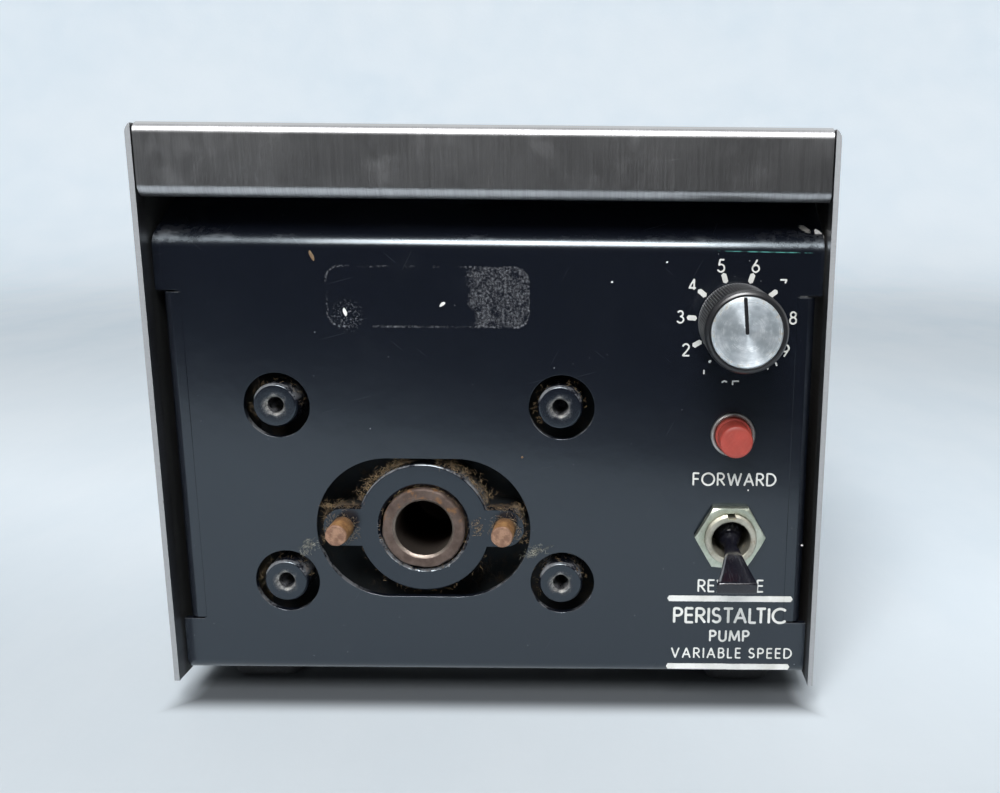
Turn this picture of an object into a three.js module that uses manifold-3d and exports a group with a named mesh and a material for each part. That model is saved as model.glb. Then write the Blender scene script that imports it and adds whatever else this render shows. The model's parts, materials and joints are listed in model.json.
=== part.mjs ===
// Drive unit of a bench-top peristaltic pump, with its pump head taken off.
//
// A folded stainless cover (top, sides and front lip) slides over a black chassis. The chassis carries a
// gearmotor whose hollow output spindle shows through an oblong cut-out in the front panel, with two
// locating studs and four tapped standoffs around it for the pump head. A speed knob, a push-to-reset
// button and a forward/reverse toggle are on the right of the panel.
//
// Millimetres, +Z up, +X to the right seen from the front. Inside the "unit" group the outer face of the
// front panel is y = 0 and the interior is y > 0. The group is moved back so that the object's origin is
// the bottom centre of its bounding box.

import * as THREE from 'three';
import * as BufferGeometryUtils from 'three/addons/utils/BufferGeometryUtils.js';
import Module from 'manifold-3d';

const wasm = await Module();
wasm.setup();

// ---------------------------------------------------------------- driving dimensions

const GAP = 0.3;                          // clearance between pieces that touch
const RAD = Math.PI / 180;
const FINE = 32;                          // sides of the large round pieces
const ROUND = 24;
const SMALL = 16;

const COVER = {
  width: 152,
  top: 134.9,
  bottom: 6.5,
  front: -4.7,
  rear: 195.3,
  sheet: 1.2,
  bend: 2.6,                              // outside bend radius
  lipBottom: 119.2,
  lipHem: 3.2,                            // how far the lower edge of the lip turns back
  lipGap: 0.4,                            // between the lip's ends and the side walls
};

const PANEL = {
  halfWidth: 74.5,
  bottom: 7,
  crease: 110,                            // height where the face turns back under the lip
  sheet: 1.5,
  recessDepth: 20,                        // finger recess above the crease
  recessRise: 12,
  top: 132.6,
  returnTop: 98.8,                        // the side returns run between two relief notches
  returnBottom: 20.4,
  returnHalfWidth: 73.3,
  returnDepth: 13,
  hem: 7,                                 // depth of the edge folded back along the bottom
  bend: 2.2,
  returnBend: 1.6,
};

const BASE = { bottom: 8.8, sheet: 1.5, bend: 2, halfWidth: 74.3, front: 13.5, rear: 185, wallTop: 20 };
const REAR = { face: 187.5, sheet: 1.5, halfWidth: 74.3, top: 133, corner: 2 };
const VENT = { count: 6, x: 8, pitch: 9, z: 84, width: 3.2, height: 48 };

const AXIS_X = -16.6;                     // output spindle
const AXIS_Z = 43.3;
const CUTOUT = { x: -16.45, z: 43.4, width: 50.1, height: 34 };

const STANDOFF = {
  x: -16.9, z: 51.5, spacingX: 65.2, spacingZ: 42.6,
  radius: 5.15, boreRadius: 2, boreDepth: 10.5, face: -0.3, clearance: 7.55,
};
const PANEL_HOLE_SHIFT = 0.4;             // the standoffs sit a little off the centres of their holes

const NOSE = { radius: 15.6, bore: 10.3, face: 0.8, earHeight: 9, earHalfLength: 23.6 };
const STUD = { offset: 19.1, radius: 2.55, front: -5.5, rear: 8 };
const SPINDLE = {
  front: 0, headRadius: 9.8, headRear: 6.5, bore: 6.75, boreDepth: 27, chamfer: 0.5,
  bodyRadius: 8, bodyRear: 36, journal: 5, rear: 52.4,
};

const GEARBOX = {
  left: -57.2, right: 24, bottom: 10.6, top: 102, corner: 8,
  plateFront: 12, plateRear: 16, rear: 52, wall: 3.5,
};

const GEAR_MODULE = 1.25;
const TEETH = { output: 38, intermediatePinion: 12, intermediateGear: 32, motorPinion: 10 };
const PRESSURE_ANGLE = 20 * RAD;
const BACKLASH = 0.2;                     // taken off each tooth's thickness

const OUTPUT_DISTANCE = (TEETH.output + TEETH.intermediatePinion) * GEAR_MODULE / 2;
const INTERMEDIATE = { x: AXIS_X, z: AXIS_Z + OUTPUT_DISTANCE };
const MOTOR_BEARING = -30 * RAD;          // direction from the intermediate shaft to the motor shaft
const MOTOR_DISTANCE = (TEETH.intermediateGear + TEETH.motorPinion) * GEAR_MODULE / 2;
const MOTOR = {
  x: INTERMEDIATE.x + MOTOR_DISTANCE * Math.cos(MOTOR_BEARING),
  z: INTERMEDIATE.z + MOTOR_DISTANCE * Math.sin(MOTOR_BEARING),
  radius: 29, wall: 2.2, front: 56, rear: 130, bell: 3, shaftRadius: 3,
};

const CONTROL_X = 55.5;
const KNOB = { z: 92.9, radius: 8.8, rear: -1.2, front: -19.2, capRadius: 7.45, capFront: -19.6 };
const POINTER_ANGLE = -5 * RAD;           // clockwise from straight up, seen from the front
const BUTTON = {
  z: 66.8, radius: 3.78, front: -8,
  collar: 4.15, collarFront: -2.2, rear: 6,
  ringRadius: 5.1, ringBore: 4.3, ringFront: -1, ringRear: 12,
};
const TOGGLE = {
  z: 42.4, acrossFlats: 14.4, nutFront: -2.2, bushingRadius: 5.95, bushingBore: 4.5, bushingFront: -4,
  pivotY: 2, tilt: 15 * RAD, length: 20, tipWidth: 8.5, tipThickness: 2.8, neck: 2.3, ball: 3.9,
  shoulder: 7.6, keyway: 1.8, flareStart: -8,
};

const FOOT = { x: 60, front: 19, rear: 172, width: 20.6, tipWidth: 16, height: 8.5, corner: 4 };
const SCREW = { z: 15, front: 32, rear: 160, headRadius: 4, headHeight: 2, shank: 1.75, length: 7 };

const GROMMET = { x: -45, z: 36, radius: 8, bore: 4.6 };
const FUSE = { x: -45, z: 66, radius: 6.5, front: 158, capRadius: 7.6, capRear: 195 };

const BOARD = {
  left: 44, right: 68, front: 60, rear: 150, lift: 8, thickness: 1.6, post: 2.5, postInset: 3,
};
const HEAT_SINK = { left: 48, right: 65, front: 102, rear: 122, base: 3, height: 18, fin: 2, fins: 4 };
const CAPACITOR = { x: 56, y: 134, radius: 8, height: 26 };

// ---------------------------------------------------------------- colours

const FINISH = {
  stainless: { color: 0x8f9092, roughness: 0.35, metalness: 1 },
  blackPaint: { color: 0x101318, roughness: 0.28, metalness: 0.2 },
  blackCasting: { color: 0x15181d, roughness: 0.45, metalness: 0.2 },
  zincSteel: { color: 0xb3b2a4, roughness: 0.4, metalness: 1 },
  rustySteel: { color: 0x5a4336, roughness: 0.6, metalness: 0.8 },
  rustyStud: { color: 0xb07a50, roughness: 0.7, metalness: 0.6 },
  bronze: { color: 0x8a6a3e, roughness: 0.5, metalness: 0.9 },
  brass: { color: 0xb59a55, roughness: 0.35, metalness: 1 },
  steel: { color: 0x9a9a9c, roughness: 0.35, metalness: 1 },
  copper: { color: 0xa5623c, roughness: 0.4, metalness: 1 },
  aluminium: { color: 0xc4c6c8, roughness: 0.3, metalness: 1 },
  blackPlastic: { color: 0x131316, roughness: 0.35, metalness: 0 },
  redPlastic: { color: 0xc6463c, roughness: 0.5, metalness: 0 },
  rubber: { color: 0x18181a, roughness: 0.85, metalness: 0 },
  board: { color: 0x3d5a34, roughness: 0.6, metalness: 0 },
  magnet: { color: 0x3a3a3c, roughness: 0.7, metalness: 0.2 },
  nylon: { color: 0xd8d2c0, roughness: 0.5, metalness: 0 },
};

// ---------------------------------------------------------------- solids and booleans

function toSolid(geometry) {
  const bare = new THREE.BufferGeometry();
  bare.setAttribute('position', geometry.getAttribute('position').clone());
  if (geometry.index) bare.setIndex(geometry.index.clone());
  const merged = BufferGeometryUtils.mergeVertices(bare, 1e-4);
  const vertProperties = new Float32Array(merged.getAttribute('position').array);
  const triVerts = new Uint32Array(merged.index.array);
  if (signedVolume(vertProperties, triVerts) < 0) {
    for (let i = 0; i < triVerts.length; i += 3) {
      [triVerts[i], triVerts[i + 1]] = [triVerts[i + 1], triVerts[i]];
    }
  }
  return new wasm.Manifold(new wasm.Mesh({ numProp: 3, vertProperties, triVerts }));
}

function signedVolume(positions, triangles) {
  const a = new THREE.Vector3();
  const b = new THREE.Vector3();
  const c = new THREE.Vector3();
  let total = 0;
  for (let i = 0; i < triangles.length; i += 3) {
    a.fromArray(positions, 3 * triangles[i]);
    b.fromArray(positions, 3 * triangles[i + 1]);
    c.fromArray(positions, 3 * triangles[i + 2]);
    total += a.dot(b.cross(c)) / 6;
  }
  return total;
}

function toGeometry(solid) {
  const mesh = solid.getMesh();
  const geometry = new THREE.BufferGeometry();
  geometry.setAttribute('position', new THREE.BufferAttribute(mesh.vertProperties, 3));
  geometry.setIndex(new THREE.BufferAttribute(mesh.triVerts, 1));
  geometry.computeVertexNormals();
  return geometry;
}

function join(first, ...others) {
  return others.reduce((total, other) => total.add(other), first);
}

function cut(first, ...tools) {
  return tools.reduce((total, tool) => total.subtract(tool), first);
}

// A box between two corners.
function block(x0, x1, y0, y1, z0, z1) {
  const geometry = new THREE.BoxGeometry(x1 - x0, y1 - y0, z1 - z0);
  geometry.translate((x0 + x1) / 2, (y0 + y1) / 2, (z0 + z1) / 2);
  return toSolid(geometry);
}

// A round bar along Y, centred on (x, z).
function barY(x, z, radius, y0, y1, sides = ROUND) {
  const geometry = new THREE.CylinderGeometry(radius, radius, y1 - y0, sides);
  geometry.translate(x, (y0 + y1) / 2, z);
  return toSolid(geometry);
}

// A turned piece about the Y axis through (x, z); each profile point is [radius, y].
function turnedY(x, z, profile, sides = ROUND) {
  const points = profile.map(([radius, y]) => new THREE.Vector2(radius, y));
  const geometry = new THREE.LatheGeometry(points, sides);
  geometry.translate(x, 0, z);
  return toSolid(geometry);
}

// A ring about the Y axis: its profile closes on itself.
function ringY(x, z, outer, inner, y0, y1, sides = ROUND) {
  return turnedY(x, z, [[inner, y0], [outer, y0], [outer, y1], [inner, y1], [inner, y0]], sides);
}

// Extrusions of a flat outline, which is given as (x, z) along Y, (y, z) along X and (x, y) along Z.
function extrudeY(shape, y0, y1) {
  const geometry = extruded(shape, y1 - y0);
  geometry.rotateX(Math.PI / 2);
  geometry.translate(0, y1, 0);
  return toSolid(geometry);
}

function extrudeX(shape, x0, x1) {
  const geometry = extruded(shape, x1 - x0);
  const turn = new THREE.Matrix4().makeBasis(
    new THREE.Vector3(0, 1, 0),
    new THREE.Vector3(0, 0, 1),
    new THREE.Vector3(1, 0, 0),
  );
  geometry.applyMatrix4(turn);
  geometry.translate(x0, 0, 0);
  return toSolid(geometry);
}

function extrudeZ(shape, z0, z1) {
  const geometry = extruded(shape, z1 - z0);
  geometry.translate(0, 0, z0);
  return toSolid(geometry);
}

function extruded(shape, depth) {
  return new THREE.ExtrudeGeometry(shape, { depth, bevelEnabled: false, steps: 1 });
}

// ---------------------------------------------------------------- outlines

function arc(cx, cy, radius, from, to, steps) {
  const points = [];
  for (let i = 0; i <= steps; i += 1) {
    const angle = from + (to - from) * i / steps;
    points.push(new THREE.Vector2(cx + radius * Math.cos(angle), cy + radius * Math.sin(angle)));
  }
  return points;
}

function roundedRectangle(x0, x1, y0, y1, radius, steps = 3) {
  const quarter = Math.PI / 2;
  return new THREE.Shape([
    ...arc(x1 - radius, y0 + radius, radius, -quarter, 0, steps),
    ...arc(x1 - radius, y1 - radius, radius, 0, quarter, steps),
    ...arc(x0 + radius, y1 - radius, radius, quarter, 2 * quarter, steps),
    ...arc(x0 + radius, y0 + radius, radius, 2 * quarter, 3 * quarter, steps),
  ]);
}

function slot(cx, cy, width, height, steps = 8) {
  const radius = Math.min(width, height) / 2 - 0.001;
  return roundedRectangle(
    cx - width / 2, cx + width / 2,
    cy - height / 2, cy + height / 2,
    radius,
    steps,
  );
}

function polygon(points) {
  return new THREE.Shape(points.map(([x, y]) => new THREE.Vector2(x, y)));
}

function hexagon(cx, cy, acrossFlats) {
  const corner = acrossFlats / 2 / Math.cos(30 * RAD);
  return new THREE.Shape(arc(cx, cy, corner, 0, 2 * Math.PI * 5 / 6, 5));
}

// The section of a folded sheet. Its middle line runs through the corners, with a bend at each inner one.
function foldedSheet(corners, bend, sheet, steps = 3) {
  const path = corners.map(([x, y]) => new THREE.Vector2(x, y));
  const samples = [{ point: path[0], direction: path[1].clone().sub(path[0]).normalize() }];
  for (let i = 1; i < path.length - 1; i += 1) {
    const before = path[i].clone().sub(path[i - 1]).normalize();
    const after = path[i + 1].clone().sub(path[i]).normalize();
    const turn = Math.atan2(before.cross(after), before.dot(after));
    const start = path[i].clone().addScaledVector(before, -bend * Math.tan(Math.abs(turn) / 2));
    const side = new THREE.Vector2(-before.y, before.x).multiplyScalar(Math.sign(turn) * bend);
    const centre = start.clone().add(side);
    for (let step = 0; step <= steps; step += 1) {
      const angle = turn * step / steps;
      const spoke = start.clone().sub(centre).rotateAround(new THREE.Vector2(), angle);
      const direction = before.clone().rotateAround(new THREE.Vector2(), angle);
      samples.push({ point: centre.clone().add(spoke), direction });
    }
  }
  const last = path.length - 1;
  samples.push({ point: path[last], direction: path[last].clone().sub(path[last - 1]).normalize() });
  const offset = (sample, distance) => new THREE.Vector2(
    sample.point.x - sample.direction.y * distance,
    sample.point.y + sample.direction.x * distance,
  );
  const left = samples.map((sample) => offset(sample, sheet / 2));
  const right = samples.map((sample) => offset(sample, -sheet / 2)).reverse();
  return new THREE.Shape([...left, ...right]);
}

// A spur gear outline with involute flanks; one tooth points along the phase angle.
function gearOutline(cx, cy, teeth, phase) {
  const pitch = teeth * GEAR_MODULE / 2;
  const base = pitch * Math.cos(PRESSURE_ANGLE);
  const root = pitch - 1.2 * GEAR_MODULE;
  const tip = pitch + 0.9 * GEAR_MODULE;
  const involute = (angle) => Math.tan(angle) - angle;
  const halfAtPitch = (Math.PI * GEAR_MODULE / 2 - BACKLASH) / (2 * pitch);
  const halfTooth = (radius) => {
    const pressure = Math.acos(Math.min(1, base / radius));
    return halfAtPitch + involute(PRESSURE_ANGLE) - involute(pressure);
  };
  const points = [];
  for (let tooth = 0; tooth < teeth; tooth += 1) {
    const centre = phase + 2 * Math.PI * tooth / teeth;
    const corners = [
      [root, centre - halfTooth(root)],
      [tip, centre - halfTooth(tip)],
      [tip, centre + halfTooth(tip)],
      [root, centre + halfTooth(root)],
    ];
    for (const [radius, angle] of corners) {
      points.push(new THREE.Vector2(cx + radius * Math.cos(angle), cy + radius * Math.sin(angle)));
    }
  }
  return new THREE.Shape(points);
}

// ---------------------------------------------------------------- scene graph

const unit = new THREE.Group();

function add(name, solid, finish, parent = unit) {
  const mesh = new THREE.Mesh(toGeometry(solid), new THREE.MeshStandardMaterial(FINISH[finish]));
  mesh.name = name;
  parent.add(mesh);
  return mesh;
}

// ---------------------------------------------------------------- case

function makeCover() {
  const half = (COVER.width - COVER.sheet) / 2;
  const roof = COVER.top - COVER.sheet / 2;
  const bend = COVER.bend - COVER.sheet / 2;
  const section = foldedSheet(
    [[-half, COVER.bottom], [-half, roof], [half, roof], [half, COVER.bottom]],
    bend,
    COVER.sheet,
  );
  const shell = extrudeY(section, COVER.front, COVER.rear);

  const lipFace = COVER.front + COVER.sheet / 2;
  const lipFoot = COVER.lipBottom + COVER.sheet / 2;
  const lipHalf = COVER.width / 2 - COVER.sheet - COVER.lipGap;
  const bendEnd = COVER.front + COVER.bend;
  const lipSection = foldedSheet(
    [[bendEnd + 2, roof], [lipFace, roof], [lipFace, lipFoot], [lipFace + COVER.lipHem, lipFoot]],
    bend,
    COVER.sheet,
  );
  const lip = extrudeX(lipSection, -lipHalf, lipHalf);
  const roofFront = block(
    -lipHalf - COVER.lipGap, lipHalf + COVER.lipGap,
    COVER.front - 1, bendEnd,
    COVER.top - COVER.bend - 2, COVER.top + 1,
  );
  const screwHoles = screwPlaces().map(({ side, y }) => (
    barX(side * COVER.width / 2, y, SCREW.z, SCREW.shank + GAP, 4)
  ));
  return cut(join(cut(shell, roofFront), lip), ...screwHoles);
}

// A short round bar along X, centred on (x, y, z).
function barX(x, y, z, radius, length, sides = SMALL) {
  const geometry = new THREE.CylinderGeometry(radius, radius, length, sides);
  geometry.rotateZ(Math.PI / 2);
  geometry.translate(x, y, z);
  return toSolid(geometry);
}

function screwPlaces() {
  const places = [];
  for (const side of [-1, 1]) {
    for (const y of [SCREW.front, SCREW.rear]) {
      places.push({ side, y });
    }
  }
  return places;
}

function standoffPlaces() {
  const places = [];
  for (const [row, up] of [['upper', 1], ['lower', -1]]) {
    for (const [column, right] of [['left', -1], ['right', 1]]) {
      places.push({
        name: `${row}_${column}`,
        x: STANDOFF.x + right * STANDOFF.spacingX / 2,
        z: STANDOFF.z + up * STANDOFF.spacingZ / 2,
      });
    }
  }
  return places;
}

function makeFrontPanel() {
  const middle = PANEL.sheet / 2;
  const section = foldedSheet(
    [
      [PANEL.hem, PANEL.bottom + middle],
      [middle, PANEL.bottom + middle],
      [middle, PANEL.crease],
      [middle + PANEL.recessDepth, PANEL.crease + PANEL.recessRise],
      [middle + PANEL.recessDepth, PANEL.top],
    ],
    PANEL.bend,
    PANEL.sheet,
  );
  const sheet = extrudeX(section, -PANEL.halfWidth, PANEL.halfWidth);

  const pieces = [];
  const notches = [];
  const turnIn = PANEL.returnHalfWidth - middle;
  const joinAt = turnIn - 3;
  for (const side of [-1, 1]) {
    const [left, right] = [side * joinAt, side * (PANEL.halfWidth + 1)].sort((a, b) => a - b);
    notches.push(block(left, right, -1, PANEL.sheet + 1, PANEL.returnBottom, PANEL.returnTop));
    const returnSection = foldedSheet(
      [[side * (joinAt - 0.5), middle], [side * turnIn, middle], [side * turnIn, PANEL.returnDepth]],
      PANEL.returnBend,
      PANEL.sheet,
    );
    pieces.push(extrudeZ(returnSection, PANEL.returnBottom + 0.4, PANEL.returnTop - 0.4));
  }

  const holes = standoffPlaces().map(({ x, z }) => (
    barY(x + PANEL_HOLE_SHIFT, z, STANDOFF.clearance, -1, PANEL.sheet + 1)
  ));
  holes.push(extrudeY(slot(CUTOUT.x, CUTOUT.z, CUTOUT.width, CUTOUT.height), -1, PANEL.sheet + 1));
  holes.push(barY(CONTROL_X, KNOB.z, 5, -1, PANEL.sheet + 1));
  holes.push(barY(CONTROL_X, BUTTON.z, BUTTON.ringRadius + 0.1, -1, PANEL.sheet + 1));
  holes.push(barY(CONTROL_X, TOGGLE.z, TOGGLE.bushingRadius + 0.15, -1, PANEL.sheet + 1));
  return cut(join(cut(sheet, ...notches), ...pieces), ...holes);
}

function makeBasePlate() {
  const half = BASE.halfWidth - BASE.sheet / 2;
  const floor = BASE.bottom + BASE.sheet / 2;
  const section = foldedSheet(
    [[-half, BASE.wallTop], [-half, floor], [half, floor], [half, BASE.wallTop]],
    BASE.bend,
    BASE.sheet,
  );
  const plate = extrudeY(section, BASE.front, BASE.rear);
  const holes = screwPlaces().map(({ side, y }) => (
    barX(side * BASE.halfWidth, y, SCREW.z, SCREW.shank + 0.1, 6)
  ));
  return cut(plate, ...holes);
}

function makeRearPanel() {
  const sheet = extrudeY(
    roundedRectangle(-REAR.halfWidth, REAR.halfWidth, BASE.bottom, REAR.top, REAR.corner),
    REAR.face - REAR.sheet,
    REAR.face,
  );
  const holes = [
    barY(GROMMET.x, GROMMET.z, GROMMET.radius - 1.4, REAR.face - 4, REAR.face + 2),
    barY(FUSE.x, FUSE.z, FUSE.radius + 0.1, REAR.face - 4, REAR.face + 2),
  ];
  for (let column = 0; column < VENT.count; column += 1) {
    const opening = slot(VENT.x + column * VENT.pitch, VENT.z, VENT.width, VENT.height, 2);
    holes.push(extrudeY(opening, REAR.face - 4, REAR.face + 2));
  }
  return cut(sheet, ...holes);
}

function makeFoot(x, y) {
  const reach = FOOT.width / 2;
  const tip = FOOT.tipWidth / 2;
  const foot = extrudeZ(
    roundedRectangle(x - reach, x + reach, y - reach, y + reach, FOOT.corner, 3),
    0,
    FOOT.height,
  );
  const trapezium = (centre) => polygon([
    [centre - tip, -1], [centre + tip, -1], [centre + tip, 0],
    [centre + reach, FOOT.height], [centre - reach, FOOT.height], [centre - tip, 0],
  ]);
  const alongX = extrudeY(trapezium(x), y - reach - 1, y + reach + 1);
  const alongY = extrudeX(trapezium(y), x - reach - 1, x + reach + 1);
  return foot.intersect(alongX).intersect(alongY);
}

// A pan-head screw through the cover and the side wall of the base, its head against the cover.
function makeCoverScrew(side, y) {
  const seat = COVER.width / 2 + 0.05;
  const profile = [
    [0, SCREW.headHeight], [2.4, SCREW.headHeight], [SCREW.headRadius, 0.6], [SCREW.headRadius, 0],
    [SCREW.shank, 0], [SCREW.shank, -SCREW.length], [0, -SCREW.length],
  ];
  const points = profile.map(([radius, height]) => new THREE.Vector2(radius, height));
  const geometry = new THREE.LatheGeometry(points, 12);
  geometry.rotateZ(-side * Math.PI / 2);
  geometry.translate(side * seat, y, SCREW.z);
  const top = side * (seat + SCREW.headHeight);
  const recess = join(
    blockAround(top, y, SCREW.z, 1.6, 3.6, 0.9),
    blockAround(top, y, SCREW.z, 1.6, 0.9, 3.6),
  );
  return cut(toSolid(geometry), recess);
}

function blockAround(x, y, z, sizeX, sizeY, sizeZ) {
  return block(x - sizeX / 2, x + sizeX / 2, y - sizeY / 2, y + sizeY / 2, z - sizeZ / 2, z + sizeZ / 2);
}

function buildCase() {
  add('cover', makeCover(), 'stainless');
  add('front_panel', makeFrontPanel(), 'blackPaint');
  add('base_plate', makeBasePlate(), 'zincSteel');
  add('rear_panel', makeRearPanel(), 'blackPaint');
  for (const [end, y] of [['front', FOOT.front], ['rear', FOOT.rear]]) {
    add(`foot_${end}_left`, makeFoot(-FOOT.x, y), 'rubber');
    add(`foot_${end}_right`, makeFoot(FOOT.x, y), 'rubber');
  }
  for (const { side, y } of screwPlaces()) {
    const end = y === SCREW.front ? 'front' : 'rear';
    const hand = side < 0 ? 'left' : 'right';
    add(`cover_screw_${end}_${hand}`, makeCoverScrew(side, y), 'zincSteel');
  }
}

// ---------------------------------------------------------------- gearbox

// A plain bore with room for its shaft.
function boreY(place, radius, y0, y1, sides = ROUND) {
  return barY(place.x, place.z, radius, y0, y1, sides);
}

const SPINDLE_AXIS = { x: AXIS_X, z: AXIS_Z };
const BEARING_OUTER = NOSE.bore - GAP;
const REAR_BEARING_OUTER = 8;
const SHAFT_RADIUS = 3;
const RUNNING_GAP = 0.08;

function makeGearboxFrontPlate() {
  const plate = extrudeY(
    roundedRectangle(GEARBOX.left, GEARBOX.right, GEARBOX.bottom, GEARBOX.top, GEARBOX.corner),
    GEARBOX.plateFront,
    GEARBOX.plateRear,
  );
  const nose = barY(AXIS_X, AXIS_Z, NOSE.radius, NOSE.face, GEARBOX.plateFront + 1, FINE);
  const ears = extrudeY(
    slot(AXIS_X, AXIS_Z, 2 * NOSE.earHalfLength, NOSE.earHeight, 6),
    NOSE.face,
    GEARBOX.plateFront + 1,
  );
  const studHoles = [-1, 1].map((side) => (
    barY(AXIS_X + side * STUD.offset, AXIS_Z, STUD.radius + 0.1, NOSE.face - 1, STUD.rear + GAP, SMALL)
  ));
  return cut(
    join(plate, nose, ears),
    barY(AXIS_X, AXIS_Z, NOSE.bore, NOSE.face - 1, GEARBOX.plateRear + 1, FINE),
    boreY(INTERMEDIATE, SHAFT_RADIUS + RUNNING_GAP, 13, GEARBOX.plateRear + 1),
    ...studHoles,
  );
}

function makeGearboxHousing() {
  const outline = (inset) => roundedRectangle(
    GEARBOX.left + inset, GEARBOX.right - inset,
    GEARBOX.bottom + inset, GEARBOX.top - inset,
    GEARBOX.corner - inset,
  );
  const front = GEARBOX.plateRear + 0.1;
  return cut(
    extrudeY(outline(0), front, GEARBOX.rear),
    extrudeY(outline(GEARBOX.wall), front - 1, GEARBOX.rear - GEARBOX.wall),
    boreY(SPINDLE_AXIS, REAR_BEARING_OUTER + 0.1, GEARBOX.rear - 5, GEARBOX.rear + 1, FINE),
    boreY(INTERMEDIATE, SHAFT_RADIUS + RUNNING_GAP, GEARBOX.rear - 5, GEARBOX.rear + 1),
    boreY(MOTOR, SHAFT_RADIUS + 4, GEARBOX.rear - 5, GEARBOX.rear + 1),
  );
}

function makeStandoff(x, z) {
  const bottom = STANDOFF.face + STANDOFF.boreDepth;
  const rear = GEARBOX.plateFront - 0.05;
  return turnedY(x, z, [
    [0, bottom], [STANDOFF.boreRadius, bottom], [STANDOFF.boreRadius, STANDOFF.face],
    [STANDOFF.radius - 0.6, STANDOFF.face], [STANDOFF.radius, STANDOFF.face + 0.6],
    [STANDOFF.radius, rear], [0, rear],
  ]);
}

function makeSpindle() {
  const { front, headRadius, headRear, bore, boreDepth, chamfer } = SPINDLE;
  const { bodyRadius, bodyRear, journal, rear } = SPINDLE;
  return turnedY(AXIS_X, AXIS_Z, [
    [0, boreDepth], [bore, boreDepth], [bore, front + chamfer], [bore + chamfer, front],
    [headRadius - 0.3, front], [headRadius, front + 0.3], [headRadius, headRear],
    [bodyRadius, headRear], [bodyRadius, bodyRear], [journal, bodyRear], [journal, rear], [0, rear],
  ], FINE);
}

function makeGear(place, teeth, phase, bore, y0, y1, boreSides = ROUND) {
  return cut(
    extrudeY(gearOutline(place.x, place.z, teeth, phase), y0, y1),
    boreY(place, bore, y0 - 1, y1 + 1, boreSides),
  );
}

function buildGearbox() {
  add('gearbox_front_plate', makeGearboxFrontPlate(), 'blackCasting');
  add('gearbox_housing', makeGearboxHousing(), 'aluminium');
  for (const [hand, side] of [['left', -1], ['right', 1]]) {
    const stud = turnedY(AXIS_X + side * STUD.offset, AXIS_Z, [
      [0, STUD.front], [STUD.radius - 0.3, STUD.front], [STUD.radius, STUD.front + 0.3],
      [STUD.radius, STUD.rear], [0, STUD.rear],
    ], SMALL);
    add(`locating_stud_${hand}`, stud, 'rustyStud');
  }
  for (const { name, x, z } of standoffPlaces()) {
    add(`standoff_${name}`, makeStandoff(x, z), 'blackCasting');
  }

  const frontBearing = ringY(
    AXIS_X, AXIS_Z, BEARING_OUTER, SPINDLE.bodyRadius + RUNNING_GAP, 6.8, GEARBOX.plateRear, FINE,
  );
  add('front_bearing', frontBearing, 'bronze');
  const rearBearing = ringY(
    AXIS_X, AXIS_Z,
    REAR_BEARING_OUTER, SPINDLE.journal + RUNNING_GAP,
    GEARBOX.rear - 6, GEARBOX.rear + 0.4,
    FINE,
  );
  add('rear_bearing', rearBearing, 'bronze');

  const quarter = Math.PI / 2;
  add('output_spindle', makeSpindle(), 'rustySteel');
  const outputGear = makeGear(SPINDLE_AXIS, TEETH.output, quarter, SPINDLE.bodyRadius + 0.05, 20, 28, FINE);
  add('output_gear', outputGear, 'steel');
  const shaft = barY(INTERMEDIATE.x, INTERMEDIATE.z, SHAFT_RADIUS, 13.3, GEARBOX.rear - 0.3);
  add('intermediate_shaft', shaft, 'steel');
  const pinionPhase = -quarter + Math.PI / TEETH.intermediatePinion;
  const pinion = makeGear(
    INTERMEDIATE, TEETH.intermediatePinion, pinionPhase, SHAFT_RADIUS + 0.05, 19, 31,
  );
  add('intermediate_pinion', pinion, 'steel');
  const gear = makeGear(
    INTERMEDIATE, TEETH.intermediateGear, MOTOR_BEARING, SHAFT_RADIUS + 0.05, 33, 40,
  );
  add('intermediate_gear', gear, 'nylon');
  const motorPhase = MOTOR_BEARING + Math.PI + Math.PI / TEETH.motorPinion;
  const motorPinion = makeGear(MOTOR, TEETH.motorPinion, motorPhase, MOTOR.shaftRadius + 0.05, 32, 44);
  add('motor_pinion', motorPinion, 'brass');
}

// ---------------------------------------------------------------- motor

const FAN_FRONT = 140;
const FAN_REAR = 150;
const SHAFT_REAR = 153;
const BELL_BORE = MOTOR.shaftRadius + RUNNING_GAP;

function makeMotorFrontBell() {
  const flangeRear = MOTOR.front - 0.1;
  const flange = barY(MOTOR.x, MOTOR.z, MOTOR.radius, flangeRear - MOTOR.bell, flangeRear, FINE);
  return cut(flange, boreY(MOTOR, BELL_BORE, MOTOR.front - 8, MOTOR.front + 2));
}

function makeMotorRearBell() {
  const front = MOTOR.rear + 0.1;
  const flange = barY(MOTOR.x, MOTOR.z, MOTOR.radius, front, front + MOTOR.bell, FINE);
  const hub = barY(MOTOR.x, MOTOR.z, 8, front + 1, front + MOTOR.bell + 4);
  return cut(join(flange, hub), boreY(MOTOR, BELL_BORE, MOTOR.rear - 2, MOTOR.rear + 12));
}

function makeMagnet(side) {
  const outer = MOTOR.radius - MOTOR.wall - GAP;
  const inner = outer - 5;
  const start = side > 0 ? -60 * RAD : 120 * RAD;
  const end = start + 120 * RAD;
  const outline = new THREE.Shape([
    ...arc(MOTOR.x, MOTOR.z, outer, start, end, 8),
    ...arc(MOTOR.x, MOTOR.z, inner, end, start, 8),
  ]);
  return extrudeY(outline, MOTOR.front + 8, MOTOR.rear - 22);
}

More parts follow.
